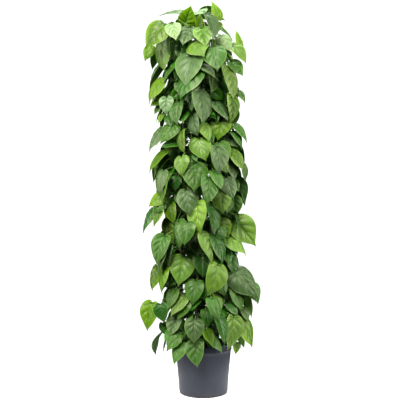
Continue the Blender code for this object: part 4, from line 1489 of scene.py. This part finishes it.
def pot_material():
    """Satin moulded plastic, bluish dark grey, with faint drawn streaks and a little dust low down."""
    material, nodes, shader, _ = new_material("moulded_plastic")
    place = nodes.object_place()
    up = nodes.split(place)[2]
    stretched = nodes.add("ShaderNodeMapping", {"Vector": place, "Scale": (1.0, 1.0, 0.06)}).outputs[0]
    streak = nodes.noise(stretched, 260.0, 3.0, 0.6)
    cloud = nodes.noise(place, 22.0, 4.0, 0.6)
    grain = nodes.noise(place, 900.0, 2.0, 0.5)
    colour = nodes.mix(nodes.ramp(streak, 0.35, 0.65), (0.010, 0.013, 0.023), (0.016, 0.019, 0.030))
    colour = nodes.mix(nodes.ramp(cloud, 0.45, 0.75, 0.0, 0.35), colour, (0.024, 0.026, 0.034))
    dust = nodes.math("MULTIPLY", nodes.ramp(up, 0.050, 0.0), nodes.ramp(cloud, 0.35, 0.75, 0.1, 0.5))
    colour = nodes.mix(dust, colour, (0.045, 0.043, 0.040))
    rough = nodes.math("ADD", nodes.ramp(cloud, 0.3, 0.7, 0.30, 0.40), nodes.math("MULTIPLY", streak, 0.06))
    shader.inputs["Specular IOR Level"].default_value = 0.4
    height = nodes.math("ADD", nodes.math("MULTIPLY", streak, 0.6), nodes.math("MULTIPLY", grain, 0.4))
    nodes.surface(shader, colour, rough, height, 0.25, 0.0004)
    return material


def soil_material():
    material, nodes, shader, _ = new_material("potting_mix")
    place = nodes.object_place()
    crumbs = nodes.add("ShaderNodeTexVoronoi", {"Vector": place, "Scale": 260.0})
    shade = nodes.noise(place, 80.0, 5.0, 0.7)
    colour = nodes.mix(nodes.ramp(shade, 0.3, 0.7), (0.018, 0.011, 0.007), (0.060, 0.036, 0.021))
    flecks = nodes.ramp(nodes.split(crumbs.outputs["Color"])[0], 0.93, 0.96)
    colour = nodes.mix(nodes.math("MULTIPLY", flecks, 0.8), colour, (0.33, 0.28, 0.20))
    nodes.surface(shader, colour, 0.95, crumbs.outputs["Distance"], 0.8, 0.002)
    return material


def net_material():
    material, nodes, shader, _ = new_material("net_plastic")
    place = nodes.object_place()
    cloud = nodes.noise(place, 60.0, 4.0, 0.6)
    grain = nodes.noise(place, 700.0, 2.0, 0.5)
    colour = nodes.mix(nodes.ramp(cloud, 0.4, 0.75), (0.008, 0.009, 0.009), (0.026, 0.027, 0.024))
    nodes.surface(shader, colour, nodes.ramp(cloud, 0.3, 0.7, 0.42, 0.6), grain, 0.2, 0.0003)
    return material


def floor_material():
    material, nodes, shader, _ = new_material("floor")
    cloud = nodes.noise(nodes.object_place(), 3.0, 2.0)
    colour = nodes.mix(cloud, (0.93, 0.93, 0.93), (0.95, 0.95, 0.95))
    link = material.node_tree.links.new
    link(colour, shader.inputs["Base Color"])
    shader.inputs["Roughness"].default_value = 0.9
    distance = nodes.add("ShaderNodeVectorMath", {0: nodes.object_place()}, operation="LENGTH")
    link(nodes.ramp(distance.outputs["Value"], 0.25, 0.90, 1.0, 0.0), shader.inputs["Alpha"])
    return material


# Stage

def make_camera():
    camera = bpy.data.cameras.new("camera")
    camera.lens = LENS
    camera.sensor_width = SENSOR
    item = bpy.data.objects.new("camera", camera)
    item.location = VIEW_POINT
    item.rotation_euler = (math.pi / 2, 0.0, 0.0)
    bpy.context.scene.collection.objects.link(item)
    bpy.context.scene.camera = item


def area_light(name, place, target, size, watts, colour):
    light = bpy.data.lights.new(name, "AREA")
    light.shape = "RECTANGLE"
    light.size, light.size_y = size
    light.energy = watts
    light.color = colour
    item = bpy.data.objects.new(name, light)
    item.location = place
    heading = Vector(target) - Vector(place)
    item.rotation_euler = heading.to_track_quat("-Z", "Y").to_euler()
    bpy.context.scene.collection.objects.link(item)


def make_world():
    """White surroundings behind the plant, and a soft light that is weaker from below."""
    world = bpy.data.worlds.new("studio")
    bpy.context.scene.world = world
    world.use_nodes = True
    nodes = Nodes(world.node_tree)
    path = nodes.add("ShaderNodeLightPath").outputs
    seen = path["Is Camera Ray"]
    duller = nodes.math("SUBTRACT", 1.0, nodes.math("MULTIPLY", path["Is Glossy Ray"], 0.75))
    up = nodes.split(nodes.add("ShaderNodeTexCoord").outputs["Generated"])[2]
    soft = nodes.math("MULTIPLY", nodes.ramp(up, -0.2, 0.9, 0.03, 0.26), duller)
    strength = nodes.math("MAXIMUM", soft, nodes.math("MULTIPLY", seen, 1.05))
    background = world.node_tree.nodes["Background"]
    background.inputs["Color"].default_value = (1.0, 1.0, 1.0, 1.0)
    world.node_tree.links.new(strength, background.inputs["Strength"])


def make_stage():
    shape = bmesh.new()
    bmesh.ops.create_circle(shape, cap_ends=True, radius=FLOOR_RADIUS, segments=96)
    floor = bmesh_object("floor", shape, floor_material())
    floor.location.z = -FLOOR_DROP
    make_world()
    for light in LIGHTS:
        area_light(*light)
    bpy.context.scene.view_settings.view_transform = "Standard"
    bpy.context.scene.view_settings.look = "Medium High Contrast"


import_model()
make_camera()
drawn = random.Random(SEED)
vines = make_vines(drawn)
leaves, leaf_guards, fixed_guards = place_leaves(vines, drawn)
leaves += place_filling(vines, leaf_guards, fixed_guards)
blade_templates = (leaf_template(*FINE_GRID), leaf_template(*SMALL_GRID))
foliage = (leaf_material(), petiole_material(), stem_material())
for vine_number, one_vine in enumerate(vines, start=1):
    make_vine(vine_number, one_vine, vines, leaves, blade_templates, foliage)
make_pot(pot_material())
make_soil(soil_material())
make_net(net_material())
make_stage()
